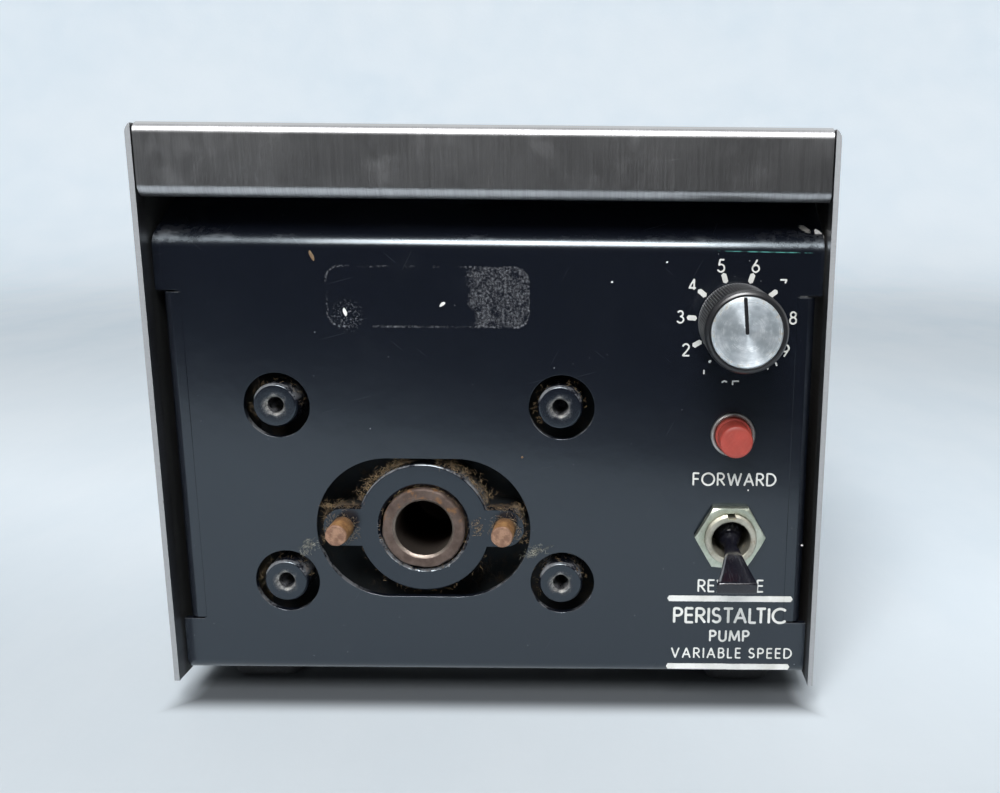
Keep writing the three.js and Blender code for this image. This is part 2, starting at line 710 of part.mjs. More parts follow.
function makeArmatureCore() {
  const outline = [];
  const slots = 8;
  const outer = 20;
  const inner = 13;
  const reach = 360 / slots * RAD;
  for (let i = 0; i < slots; i += 1) {
    const centre = i * reach;
    const corners = [
      [inner, -0.14], [outer - 2, -0.14], [outer - 2, -0.32], [outer, -0.32],
      [outer, 0.32], [outer - 2, 0.32], [outer - 2, 0.14], [inner, 0.14],
    ];
    for (const [radius, angle] of corners) {
      const direction = centre + angle;
      outline.push([MOTOR.x + radius * Math.cos(direction), MOTOR.z + radius * Math.sin(direction)]);
    }
  }
  return cut(
    extrudeY(polygon(outline), MOTOR.front + 10, MOTOR.rear - 24),
    boreY(MOTOR, MOTOR.shaftRadius + 0.05, MOTOR.front, MOTOR.rear),
  );
}

function makeFan() {
  const hub = barY(MOTOR.x, MOTOR.z, 7, FAN_FRONT, FAN_REAR);
  const plate = barY(MOTOR.x, MOTOR.z, 24, FAN_FRONT, FAN_FRONT + 1.5);
  const blades = [];
  for (let i = 0; i < 6; i += 1) {
    const geometry = new THREE.BoxGeometry(17.5, FAN_REAR - FAN_FRONT - 2, 1.4);
    geometry.translate(14.5, 0, 0);
    geometry.rotateY(i * Math.PI / 3);
    geometry.translate(MOTOR.x, (FAN_FRONT + FAN_REAR) / 2 - 0.5, MOTOR.z);
    blades.push(toSolid(geometry));
  }
  return cut(
    join(hub, plate, ...blades),
    boreY(MOTOR, MOTOR.shaftRadius + 0.05, FAN_FRONT - 1, FAN_REAR + 1),
  );
}

function makeBrushHolder(side) {
  const reach = MOTOR.radius + 5;
  const inside = 11.5;
  const y = MOTOR.rear - 10;
  const length = reach - inside;
  return join(
    barX(MOTOR.x + side * (inside + length / 2), y, MOTOR.z, 3.2, length),
    barX(MOTOR.x + side * (reach + 1), y, MOTOR.z, 5, 3),
  );
}

function makeMotorCan() {
  const can = ringY(MOTOR.x, MOTOR.z, MOTOR.radius, MOTOR.radius - MOTOR.wall, MOTOR.front, MOTOR.rear, FINE);
  const holes = [-1, 1].map((side) => (
    barX(MOTOR.x + side * MOTOR.radius, MOTOR.rear - 10, MOTOR.z, 3.4, 12)
  ));
  return cut(can, ...holes);
}

function makeMotorBracket() {
  const floor = BASE.bottom + BASE.sheet + 0.1;
  const width = 44;
  const left = MOTOR.x - width / 2;
  const right = MOTOR.x + width / 2;
  const cradle = block(left, right, 78, 84, floor, MOTOR.z - 12);
  const rearCradle = block(left, right, 104, 110, floor, MOTOR.z - 12);
  const foot = block(left, right, 78, 110, floor, floor + 2.5);
  return cut(
    join(cradle, rearCradle, foot),
    barY(MOTOR.x, MOTOR.z, MOTOR.radius + GAP, 70, 118, FINE),
  );
}

function buildMotor() {
  add('motor_can', makeMotorCan(), 'zincSteel');
  add('motor_front_bell', makeMotorFrontBell(), 'aluminium');
  add('motor_rear_bell', makeMotorRearBell(), 'aluminium');
  add('motor_magnet_left', makeMagnet(-1), 'magnet');
  add('motor_magnet_right', makeMagnet(1), 'magnet');
  add('motor_brush_holder_left', makeBrushHolder(-1), 'blackPlastic');
  add('motor_brush_holder_right', makeBrushHolder(1), 'blackPlastic');
  add('motor_bracket', makeMotorBracket(), 'zincSteel');

  add('motor_shaft', barY(MOTOR.x, MOTOR.z, MOTOR.shaftRadius, 31, SHAFT_REAR), 'steel');
  add('armature_core', makeArmatureCore(), 'steel');
  const commutator = ringY(
    MOTOR.x, MOTOR.z, 10.5, MOTOR.shaftRadius + 0.05, MOTOR.rear - 17, MOTOR.rear - 3,
  );
  add('commutator', commutator, 'copper');
  add('cooling_fan', makeFan(), 'nylon');
}

// ---------------------------------------------------------------- controls

function makePotBody() {
  const behind = PANEL.sheet + 0.1;
  const can = barY(CONTROL_X, KNOB.z, 12, behind, 14);
  const bushing = barY(CONTROL_X, KNOB.z, 4.7, -5.5, behind + 1);
  return cut(join(can, bushing), barY(CONTROL_X, KNOB.z, 3.15, -6, 12));
}

function makeKnob() {
  const { radius, rear, front, capRadius } = KNOB;
  const shaftBore = 3.1;
  return turnedY(CONTROL_X, KNOB.z, [
    [0, front + 3.5], [0, front + 1], [capRadius + 0.1, front + 1], [capRadius + 0.1, front],
    [radius - 0.6, front], [radius, front + 1.2], [radius, rear],
    [radius - 1.1, rear], [radius - 1.1, rear - 6], [shaftBore, rear - 6],
    [shaftBore, front + 3.5], [0, front + 3.5],
  ], FINE);
}

function makeBreakerBody() {
  const behind = PANEL.sheet + 0.1;
  const body = block(CONTROL_X - 8, CONTROL_X + 8, behind, 24, BUTTON.z - 9, BUTTON.z + 9);
  return cut(body, barY(CONTROL_X, BUTTON.z, BUTTON.ringRadius + 0.1, behind - 1, 20));
}

function makeButton() {
  const { radius, front, collar, collarFront, rear } = BUTTON;
  return turnedY(CONTROL_X, BUTTON.z, [
    [0, front], [radius - 0.5, front], [radius - 0.12, front + 0.15], [radius, front + 0.5],
    [radius, collarFront], [collar, collarFront], [collar, rear], [0, rear],
  ]);
}

function makeButtonSpring() {
  const turns = 4;
  const coil = 3;
  const wire = 0.35;
  const start = BUTTON.rear + 0.2 + wire;
  const end = BUTTON.ringRear + 1.5;
  const stepsPerTurn = 8;
  const points = [];
  for (let i = 0; i <= turns * stepsPerTurn; i += 1) {
    const angle = 2 * Math.PI * i / stepsPerTurn;
    const y = start + (end - start) * i / (turns * stepsPerTurn);
    const spoke = new THREE.Vector2(coil, 0).rotateAround(new THREE.Vector2(), angle);
    points.push(new THREE.Vector3(CONTROL_X + spoke.x, y, BUTTON.z + spoke.y));
  }
  const geometry = new THREE.ExtrudeGeometry(new THREE.Shape(arc(0, 0, wire, 0, 2 * Math.PI * 4 / 5, 4)), {
    steps: turns * stepsPerTurn,
    extrudePath: new THREE.CatmullRomCurve3(points),
  });
  return toSolid(geometry);
}

function makeToggleBody() {
  const behind = PANEL.sheet + 0.1;
  const body = block(CONTROL_X - 8.5, CONTROL_X + 8.5, behind + 2, 26, TOGGLE.z - 15, TOGGLE.z + 15);
  return cut(body, barY(CONTROL_X, TOGGLE.z, TOGGLE.bushingRadius + 0.1, behind, 13));
}

function makeToggleBushing() {
  const { bushingRadius, bushingBore, bushingFront } = TOGGLE;
  const behind = PANEL.sheet + 0.1;
  const tube = ringY(CONTROL_X, TOGGLE.z, bushingRadius, bushingBore, bushingFront, 8);
  const shoulder = ringY(CONTROL_X, TOGGLE.z, TOGGLE.shoulder, bushingBore, behind, behind + 1.8);
  const keyway = block(
    CONTROL_X - TOGGLE.keyway / 2, CONTROL_X + TOGGLE.keyway / 2,
    bushingFront - 1, behind - 0.1,
    TOGGLE.z + bushingRadius - 0.7, TOGGLE.z + bushingRadius + 1,
  );
  return cut(join(tube, shoulder), keyway);
}

function makeToggleLever() {
  const { ball, neck, length, flareStart, tipWidth, tipThickness } = TOGGLE;
  const halfTip = tipWidth / 2;
  const outline = polygon([
    [-neck, flareStart + 1], [-neck, flareStart], [-halfTip, -length + 0.5], [-halfTip + 0.4, -length],
    [halfTip - 0.4, -length], [halfTip, -length + 0.5], [neck, flareStart], [neck, flareStart + 1],
  ]);
  const halfThickness = tipThickness / 2;
  const side = polygon([
    [flareStart + 2, neck], [flareStart, neck], [-length, halfThickness],
    [-length, -halfThickness], [flareStart, -neck], [flareStart + 2, -neck],
  ]);
  const paddle = extrudeZ(outline, -4, 4).intersect(extrudeX(side, -6, 6));
  const pivotBall = toSolid(new THREE.SphereGeometry(ball, SMALL, 10));
  const stem = barY(0, 0, neck, flareStart + 0.5, 0, SMALL);
  const tail = barY(0, 0, 1.6, 0, 6.5, 12);
  return join(paddle, pivotBall, stem, tail);
}

function buildControls() {
  add('speed_control_body', makePotBody(), 'zincSteel');
  const potNut = cut(
    extrudeY(hexagon(CONTROL_X, KNOB.z, 12.6), -2.4, -0.1),
    barY(CONTROL_X, KNOB.z, 4.8, -3, 1),
  );
  add('speed_control_nut', potNut, 'zincSteel');
  add('speed_control_shaft', barY(CONTROL_X, KNOB.z, 3.05, KNOB.front + 3.8, 11.5), 'brass');
  add('speed_knob', makeKnob(), 'blackPlastic');
  const cap = turnedY(CONTROL_X, KNOB.z, [
    [0, KNOB.capFront], [KNOB.capRadius - 0.3, KNOB.capFront], [KNOB.capRadius, KNOB.capFront + 0.3],
    [KNOB.capRadius, KNOB.front + 0.95], [0, KNOB.front + 0.95],
  ], FINE);
  const line = new THREE.BoxGeometry(0.8, 0.5, KNOB.capRadius + 1);
  line.translate(0, 0, (KNOB.capRadius + 1) / 2);
  line.rotateY(POINTER_ANGLE);
  line.translate(CONTROL_X, KNOB.capFront, KNOB.z);
  add('knob_cap', cut(cap, toSolid(line)), 'aluminium');

  add('reset_switch_body', makeBreakerBody(), 'blackPlastic');
  const { ringRadius, ringBore, ringFront, ringRear } = BUTTON;
  const ring = ringY(CONTROL_X, BUTTON.z, ringRadius, ringBore, ringFront, ringRear);
  add('reset_button_ring', ring, 'zincSteel');
  add('reset_button', makeButton(), 'redPlastic');
  add('reset_button_spring', makeButtonSpring(), 'steel');

  add('direction_switch_body', makeToggleBody(), 'blackPlastic');
  add('direction_switch_bushing', makeToggleBushing(), 'zincSteel');
  const nut = cut(
    extrudeY(hexagon(CONTROL_X, TOGGLE.z, TOGGLE.acrossFlats), TOGGLE.nutFront, -0.1),
    barY(CONTROL_X, TOGGLE.z, TOGGLE.bushingRadius + 0.1, -3, 1),
  );
  add('direction_switch_nut', nut, 'zincSteel');
  const lever = add('direction_lever', makeToggleLever(), 'blackPlastic');
  lever.position.set(CONTROL_X, TOGGLE.pivotY, TOGGLE.z);
  lever.rotation.x = TOGGLE.tilt;
}

// ---------------------------------------------------------------- electrics and rear fittings

// An upright round bar, centred on (x, y).
function barZ(x, y, radius, z0, z1, sides = ROUND) {
  const geometry = new THREE.CylinderGeometry(radius, radius, z1 - z0, sides);
  geometry.rotateX(Math.PI / 2);
  geometry.translate(x, y, (z0 + z1) / 2);
  return toSolid(geometry);
}

const ELECTRICS_FLOOR = BASE.bottom + BASE.sheet + 0.1;
const BOARD_TOP = ELECTRICS_FLOOR + BOARD.lift + BOARD.thickness;

function makeBoard() {
  const underside = ELECTRICS_FLOOR + BOARD.lift;
  const board = block(BOARD.left, BOARD.right, BOARD.front, BOARD.rear, underside, BOARD_TOP);
  const posts = [];
  for (const x of [BOARD.left + BOARD.postInset, BOARD.right - BOARD.postInset]) {
    for (const y of [BOARD.front + BOARD.postInset, BOARD.rear - BOARD.postInset]) {
      posts.push(barZ(x, y, BOARD.post, ELECTRICS_FLOOR, underside + 1, 8));
    }
  }
  const relay = block(48, 60, 70, 84, BOARD_TOP - 0.5, BOARD_TOP + 6);
  const trimmer = block(50, 62, 90, 96, BOARD_TOP - 0.5, BOARD_TOP + 12);
  return join(board, ...posts, relay, trimmer);
}

function makeHeatSink() {
  const { left, right, front, rear, base, height, fin, fins } = HEAT_SINK;
  const foot = BOARD_TOP + 0.1;
  const pitch = (right - left - fin) / (fins - 1);
  const blades = [];
  for (let i = 0; i < fins; i += 1) {
    const x = left + i * pitch;
    blades.push(block(x, x + fin, front, rear, foot, foot + height));
  }
  return join(block(left, right, front, rear, foot, foot + base), ...blades);
}

function buildElectrics() {
  add('speed_control_board', makeBoard(), 'board');
  add('heat_sink', makeHeatSink(), 'aluminium');
  const capacitorFoot = BOARD_TOP + 0.1;
  const capacitor = barZ(
    CAPACITOR.x, CAPACITOR.y, CAPACITOR.radius,
    capacitorFoot, capacitorFoot + CAPACITOR.height,
  );
  add('capacitor', capacitor, 'blackPlastic');

  const holder = turnedY(FUSE.x, FUSE.z, [
    [0, FUSE.front], [FUSE.radius, FUSE.front],
    [FUSE.radius, REAR.face + 0.2], [FUSE.capRadius, REAR.face + 0.2],
    [FUSE.capRadius, FUSE.capRear - 1], [FUSE.capRadius - 1, FUSE.capRear], [0, FUSE.capRear],
  ]);
  const slotCut = blockAround(FUSE.x, FUSE.capRear, FUSE.z, 8, 2.4, 1.2);
  add('fuse_holder', cut(holder, slotCut), 'blackPlastic');

  const neck = GROMMET.radius - 1.6;
  const front = REAR.face - REAR.sheet - 0.15;
  const rear = REAR.face + 0.15;
  add('cord_grommet', turnedY(GROMMET.x, GROMMET.z, [
    [GROMMET.bore, front - 2.4], [GROMMET.radius, front - 2.4], [GROMMET.radius, front], [neck, front],
    [neck, rear], [GROMMET.radius, rear], [GROMMET.radius, rear + 2.4], [GROMMET.bore, rear + 2.4],
    [GROMMET.bore, front - 2.4],
  ]), 'rubber');
}

// ---------------------------------------------------------------- assembly

buildCase();
buildGearbox();
buildMotor();
buildControls();
buildElectrics();

const pump = new THREE.Group();
unit.position.y = -(KNOB.capFront + COVER.rear) / 2;
pump.add(unit);

export default pump;
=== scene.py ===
import math
import random

import bmesh
import bpy
from mathutils import Euler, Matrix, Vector
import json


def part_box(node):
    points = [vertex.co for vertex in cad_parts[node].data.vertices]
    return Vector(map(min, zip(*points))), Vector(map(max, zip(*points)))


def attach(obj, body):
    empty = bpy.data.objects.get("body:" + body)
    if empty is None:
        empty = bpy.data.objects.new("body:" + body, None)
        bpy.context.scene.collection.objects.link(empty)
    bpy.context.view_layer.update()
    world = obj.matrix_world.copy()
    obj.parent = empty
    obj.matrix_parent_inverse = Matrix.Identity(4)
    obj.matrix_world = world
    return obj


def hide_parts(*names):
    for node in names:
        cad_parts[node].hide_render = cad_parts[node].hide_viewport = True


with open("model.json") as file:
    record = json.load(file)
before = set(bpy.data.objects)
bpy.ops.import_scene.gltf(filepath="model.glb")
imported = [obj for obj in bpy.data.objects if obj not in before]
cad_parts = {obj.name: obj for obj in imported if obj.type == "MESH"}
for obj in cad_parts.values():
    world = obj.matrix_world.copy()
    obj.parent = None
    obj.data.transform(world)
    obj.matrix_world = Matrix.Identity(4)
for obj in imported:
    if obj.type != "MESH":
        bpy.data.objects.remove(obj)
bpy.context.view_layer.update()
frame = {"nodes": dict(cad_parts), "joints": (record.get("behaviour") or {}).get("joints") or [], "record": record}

# Drive unit of a bench-top peristaltic pump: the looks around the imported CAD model.
# Shapes are written in millimetres from the outer face of the front panel: x to the right, y into the
# unit, z up from the floor. Most positions come from the CAD nodes' own boxes.

MM = 0.001
FACE_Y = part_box("front_panel")[0].y


def span(node):
    """A CAD node's lowest and highest corners, in millimetres from the panel's face."""
    low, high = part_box(node)
    shift = Vector((0, FACE_Y, 0))
    return (low - shift) / MM, (high - shift) / MM


def axis_of(node):
    """Where the node's axis along Y meets the panel's face."""
    low, high = span(node)
    return Vector(((low.x + high.x) / 2, 0, (low.z + high.z) / 2))


# ---------------------------------------------------------------- measures, in millimetres and degrees

COVER_SHEET = 1.2
COVER_BEND = 2.6
LIP_GAP = 0.4
LIP_HEM = 3.2
LIP_BOTTOM = 119.2
PANEL_SHEET = 1.5
CREASE = 110.0
RECESS = {"depth": 20, "rise": 12}
SIDE_RETURN = {"low": 20.8, "high": 98.4, "half_width": 73.3, "depth": 13}
NOTCH = {"low": 20.4, "high": 98.8}
CUTOUT = {"x": -16.45, "z": 43.4, "width": 50.1, "height": 34}
STANDOFFS = [f"standoff_{row}_{column}" for row in ("upper", "lower") for column in ("left", "right")]
STANDOFF_HOLE = {"radius": 7.55, "shift": 0.4}
CONTROL_X = axis_of("speed_knob").x
CONTROL_HOLES = {"speed_knob": 5.0, "reset_button": 5.2, "direction_switch_bushing": 6.1}
SCREW_Y = (32, 160)
SCREW_Z = (span("cover_screw_front_left")[0].z + span("cover_screw_front_left")[1].z) / 2
SCREW_HOLE = 2.05
REAR_HOLE = 6.6
VENT = {"count": 6, "x": 8, "pitch": 9, "z": 84, "width": 3.2, "height": 48}
NOSE = {"radius": 15.6, "bore": 10.3, "edge": 0.55}
EARS = {"width": 47.2, "height": 9}
KNURL = {"ridges": 88, "depth": 0.50}
POINTER_TILT = -5
LEVER_TILT = 17.6
SPRING_POCKET = 2.6
INK_HEIGHT = 0.035
DIGIT_HEIGHT = 2.65
LABEL = {"x": -13.8, "z": 97.8, "half_x": 22.6, "half_z": 6.7, "radius": 3}
TABLE = [Vector(p) for p in ((600, 700), (-600, 700), (-600, -537), (-297, -537), (233, -252), (600, -252))]

# colours that several materials share
ENAMEL = (0.0048, 0.0062, 0.0110)
BLUISH = (0.80, 0.92, 1.0)
DUST_AND_HIGHLIGHT = (0.30, 0.31, 0.33)


# ---------------------------------------------------------------- outlines


def rounded(corners, closed=False, steps=8):
    """The points of a line through corners (a, b) or (a, b, radius), with an arc at each radius."""
    points = []
    count = len(corners)
    for i, corner in enumerate(corners):
        here = Vector(corner[:2])
        radius = corner[2] if len(corner) > 2 else 0
        if radius == 0 or (not closed and i in (0, count - 1)):
            points.append(here)
            continue
        before = (Vector(corners[i - 1][:2]) - here).normalized()
        after = (Vector(corners[(i + 1) % count][:2]) - here).normalized()
        half = before.angle(after) / 2
        centre = here + (before + after).normalized() * radius / math.sin(half)
        start = here + before * radius / math.tan(half) - centre
        end = here + after * radius / math.tan(half) - centre
        first = math.atan2(start.y, start.x)
        sweep = math.atan2(start.cross(end), start.dot(end))
        for step in range(steps + 1):
            angle = first + sweep * step / steps
            points.append(centre + radius * Vector((math.cos(angle), math.sin(angle))))
    return points


def circle(x, z, radius, steps=96):
    turn = 2 * math.pi / steps
    return [Vector((x + radius * math.cos(i * turn), z + radius * math.sin(i * turn))) for i in range(steps)]


def box_outline(x0, x1, z0, z1, radius=0, steps=10):
    return rounded([(x0, z0, radius), (x1, z0, radius), (x1, z1, radius), (x0, z1, radius)], True, steps)


def stadium(x, z, width, height, steps=32):
    radius = min(width, height) / 2 - 0.001
    return box_outline(x - width / 2, x + width / 2, z - height / 2, z + height / 2, radius, steps)


def hexagon(x, z, across_flats):
    return circle(x, z, across_flats / 2 / math.cos(math.pi / 6), 6)


def sheet_section(corners, thickness):
    """The outline of a folded sheet, from the corners of its middle line."""
    line = rounded(corners, steps=14)
    left, right = [], []
    for i, point in enumerate(line):
        before = (point - line[i - 1]).normalized() if i else Vector((0, 0))
        after = (line[i + 1] - point).normalized() if i < len(line) - 1 else Vector((0, 0))
        along = (before + after).normalized()
        across = Vector((-along.y, along.x)) * thickness / 2
        left.append(point + across)
        right.append(point - across)
    return left + right[::-1]


# ---------------------------------------------------------------- meshes


def make_mesh(name, points, faces, origin=(0, 0, 0)):
    """An object from points in millimetres about an origin that is measured from the panel's face."""
    mesh = bpy.data.meshes.new(name)
    mesh.from_pydata([Vector(p) * MM for p in points], [], faces)
    clean = bmesh.new()
    clean.from_mesh(mesh)
    bmesh.ops.recalc_face_normals(clean, faces=clean.faces)
    clean.to_mesh(mesh)
    clean.free()
    piece = bpy.data.objects.new(name, mesh)
    bpy.context.scene.collection.objects.link(piece)
    piece.location = Vector(origin) * MM + Vector((0, FACE_Y, 0))
    return piece


def prism(name, outline, low, high, axis="Y", origin=(0, 0, 0)):
    """An outline pushed along an axis: it holds (x, z) along Y, (y, z) along X and (x, y) along Z."""
    place = {
        "X": lambda p, depth: (depth, p.x, p.y),
        "Y": lambda p, depth: (p.x, depth, p.y),
        "Z": lambda p, depth: (p.x, p.y, depth),
    }[axis]
    count = len(outline)
    points = [place(p, low) for p in outline] + [place(p, high) for p in outline]
    faces = [tuple(range(count)), tuple(range(count, 2 * count))]
    faces += [(i, (i + 1) % count, count + (i + 1) % count, count + i) for i in range(count)]
    return make_mesh(name, points, faces, origin)


def turned(name, profile, origin=(0, 0, 0), segments=96, closed=False, shape=None):
    """A piece turned about the Y axis through its origin, from a profile of (radius, depth) points.
    shape(radius, depth, angle) may change the radius round the turn."""
    points, rings = [], []
    for radius, depth in profile:
        if radius < 1e-6:
            rings.append([len(points)] * segments)
            points.append((0, depth, 0))
            continue
        rings.append(list(range(len(points), len(points) + segments)))
        for i in range(segments):
            angle = 2 * math.pi * i / segments
            r = shape(radius, depth, angle) if shape else radius
            points.append((r * math.cos(angle), depth, r * math.sin(angle)))
    pairs = list(zip(rings, rings[1:])) + ([(rings[-1], rings[0])] if closed else [])
    faces = []
    for a, b in pairs:
        for i in range(segments):
            j = (i + 1) % segments
            corners = list(dict.fromkeys([a[i], a[j], b[j], b[i]]))
            if len(corners) > 2:
                faces.append(tuple(corners))
    return make_mesh(name, points, faces, origin)


def loft(name, rings, origin=(0, 0, 0)):
    """A closed skin over rings that have the same number of points."""
    count = len(rings[0])
    points = [point for ring in rings for point in ring]
    faces = []
    for level in range(len(rings) - 1):
        for i in range(count):
            a, b = level * count + i, level * count + (i + 1) % count
            faces.append((a, b, b + count, a + count))
    faces.append(tuple(range(count)))
    faces.append(tuple(range(len(points) - count, len(points))))
    return make_mesh(name, points, faces, origin)


def divided(profile, pitch, inside=math.inf):
    """The profile with its lines split into steps of about that pitch, where they lie inside a radius."""
    fine = []
    for a, b in zip(profile, profile[1:]):
        pieces = max(1, round((b - a).length / pitch)) if max(a.x, b.x) < inside else 1
        fine += [a.lerp(b, i / pieces) for i in range(pieces)]
    return fine + [profile[-1]]


def settle(piece):
    """Turns what the modifiers make into the piece's own mesh."""
    evaluated = piece.evaluated_get(bpy.context.evaluated_depsgraph_get())
    mesh = bpy.data.meshes.new_from_object(evaluated)
    piece.modifiers.clear()
    piece.data = mesh


def combine(piece, tools, operation="DIFFERENCE"):
    for tool in tools:
        modifier = piece.modifiers.new("combine", "BOOLEAN")
        modifier.operation = operation
        modifier.solver = "EXACT"
        modifier.object = tool
    bpy.context.view_layer.update()
    settle(piece)
    for tool in tools:
        bpy.data.objects.remove(tool)
    return piece


def merged(name, pieces):
    """One object that holds the meshes of several, which are removed."""
    whole = bmesh.new()
    for piece in pieces:
        part = piece.data.copy()
        part.transform(piece.matrix_basis)
        whole.from_mesh(part)
    for piece in pieces:
        bpy.data.objects.remove(piece)
    mesh = bpy.data.meshes.new(name)
    whole.to_mesh(mesh)
    whole.free()
    result = bpy.data.objects.new(name, mesh)
    bpy.context.scene.collection.objects.link(result)
    return result


def soften(piece, width=0.2, segments=3, angle=32):
    """Rounds the sharp edges by a width in millimetres, and smooths the shading between them."""
    bevel = piece.modifiers.new("soften", "BEVEL")
    bevel.width = width * MM
    bevel.segments = segments
    bevel.limit_method = "ANGLE"
    bevel.angle_limit = math.radians(angle)
    bevel.miter_outer = "MITER_ARC"
    shade(piece, 60)
    piece.modifiers.new("flats", "WEIGHTED_NORMAL").keep_sharp = True
    return piece


def shade(piece, angle=40):
    piece.data.shade_smooth()
    piece.data.set_sharp_from_angle(angle=math.radians(angle))
    return piece


def finish_piece(piece, material, body="housing", replaced=()):
    piece.data.materials.clear()
    piece.data.materials.append(MATERIALS[material])
    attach(piece, body)
    if replaced:
        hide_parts(*replaced)


# ---------------------------------------------------------------- material kit


class Amount:
    """A number that varies over a surface. Arithmetic on it adds nodes."""

    def __init__(self, surface, socket):
        self.surface = surface
        self.socket = socket

    def calc(self, operation, *others):
        math_node = self.surface.node("Math", operation=operation)
        for slot, value in zip(math_node.inputs, (self, *others)):
            self.surface.feed(slot, value)
        return Amount(self.surface, math_node.outputs[0])

    def __add__(self, other):
        return self.calc("ADD", other)

    def __radd__(self, other):
        return self.calc("ADD", other)

    def __sub__(self, other):
        return self.calc("SUBTRACT", other)

    def __rsub__(self, other):
        return (self * -1).calc("ADD", other)

    def __mul__(self, other):
        return self.calc("MULTIPLY", other)

    def between(self, low, high):
        """0 up to low, 1 from high on, smooth in between; low may be the larger one."""
        node = self.surface.node("MapRange", interpolation_type="SMOOTHSTEP")
        self.surface.feed(node.inputs["Value"], self)
        node.inputs["From Min"].default_value = low
        node.inputs["From Max"].default_value = high
        return Amount(self.surface, node.outputs[0])


class Surface:
    """A material in the making. Its patterns are laid out in millimetres in the piece's own frame."""

    def __init__(self, name):
        self.material = bpy.data.materials.new(name)
        self.material.use_nodes = True
        self.tree = self.material.node_tree
        self.tree.nodes.clear()
        self.shader = self.node("BsdfPrincipled")
        output = self.node("OutputMaterial")
        self.tree.links.new(self.shader.outputs[0], output.inputs["Surface"])
        scaled = self.node("VectorMath", operation="SCALE")
        scaled.inputs["Scale"].default_value = 1 / MM
        self.tree.links.new(self.node("TexCoord").outputs["Object"], scaled.inputs[0])
        self.point = scaled.outputs[0]
        self.normal = None

    def node(self, kind, **settings):
        made = self.tree.nodes.new("ShaderNode" + kind)
        for key, value in settings.items():
            setattr(made, key, value)
        return made

    def feed(self, slot, value):
        if isinstance(value, Amount):
            value = value.socket
        if isinstance(value, bpy.types.NodeSocket):
            self.tree.links.new(value, slot)
        elif value is not None:
            slot.default_value = value if not isinstance(value, tuple) or len(value) == 4 else (*value, 1)

    def place(self, size, stretch, turn, shift):
        mapping = self.node("Mapping", vector_type="TEXTURE")
        mapping.inputs["Location"].default_value = (shift, shift * 0.7, shift * 1.3)
        mapping.inputs["Rotation"].default_value = [math.radians(a) for a in turn]
        mapping.inputs["Scale"].default_value = [size * s for s in stretch]
        self.tree.links.new(self.point, mapping.inputs["Vector"])
        return mapping.outputs[0]

    def noise(self, size, detail=2.0, rough=0.5, stretch=(1, 1, 1), shift=0):
        """Cloudy noise with features of about that size, from 0 to 1 with most of it near 0.5."""
        made = self.node("TexNoise")
        self.tree.links.new(self.place(size, stretch, (0, 0, 0), shift), made.inputs["Vector"])
        made.inputs["Scale"].default_value = 1
        made.inputs["Detail"].default_value = detail
        made.inputs["Roughness"].default_value = rough
        return Amount(self, made.outputs[0])

    def specks(self, size, share, radius, stretch=(1, 1, 1), turn=(0, 0, 0), shift=0, soft=0.6):
        """Scattered spots, one in each cell of that size for a share of the cells; radius is in cells."""
        cells = self.node("TexVoronoi")
        self.tree.links.new(self.place(size, stretch, turn, shift), cells.inputs["Vector"])
        cells.inputs["Scale"].default_value = 1
        spot = Amount(self, cells.outputs["Distance"]).between(radius, radius * soft)
        split = self.node("SeparateColor")
        self.tree.links.new(cells.outputs["Color"], split.inputs[0])
        chosen = Amount(self, split.outputs[0]).calc("LESS_THAN", share)
        return spot * chosen

    def axis(self, letter):
        split = self.node("SeparateXYZ")
        self.tree.links.new(self.point, split.inputs[0])
        return Amount(self, split.outputs[letter])

    def from_axis(self, x=0, z=0):
        """The distance from the line along Y through (x, z)."""
        across = self.axis("X") - x
        up = self.axis("Z") - z
        return (across * across + up * up).calc("SQRT")

    def facing_up(self):
        """How much the surface faces up, from -1 to 1."""
        split = self.node("SeparateXYZ")
        self.tree.links.new(self.node("TexCoord").outputs["Normal"], split.inputs[0])
        return Amount(self, split.outputs[2])

    def mix(self, amount, first, second):
        made = self.node("Mix", data_type="RGBA")
        self.feed(made.inputs[0], amount)
        self.feed(made.inputs[6], first)
        self.feed(made.inputs[7], second)
        return made.outputs[2]

    def paint(self, colour, *coats):
        """A colour with coats of (amount, colour) laid over it in turn."""
        for amount, coat in coats:
            colour = self.mix(amount, colour, coat)
        return colour

    def bump(self, height, depth):
        """Adds relief: a height of 1 stands that many millimetres proud."""
        made = self.node("Bump")
        made.inputs["Distance"].default_value = depth * MM
        self.feed(made.inputs["Height"], height)
        if self.normal:
            self.tree.links.new(self.normal, made.inputs["Normal"])
        self.normal = made.outputs[0]

    def done(self, **inputs):
        for key, value in inputs.items():
            self.feed(self.shader.inputs[key.replace("_", " ")], value)
        if self.normal:
            self.tree.links.new(self.normal, self.shader.inputs["Normal"])
        return self.material


# ---------------------------------------------------------------- materials

# Sizes and places are in millimetres. Amounts run from 0 to 1, and colours are linear red, green, blue.


def scratches(s, length, share, turn, shift, width=0.035):
    """Thin straight marks on surfaces that face the front, about that long, all turned one way."""
    return s.specks(length, share, 0.5, (width / length * 2, 1, 1), (0, turn, 0), shift, 0.3)


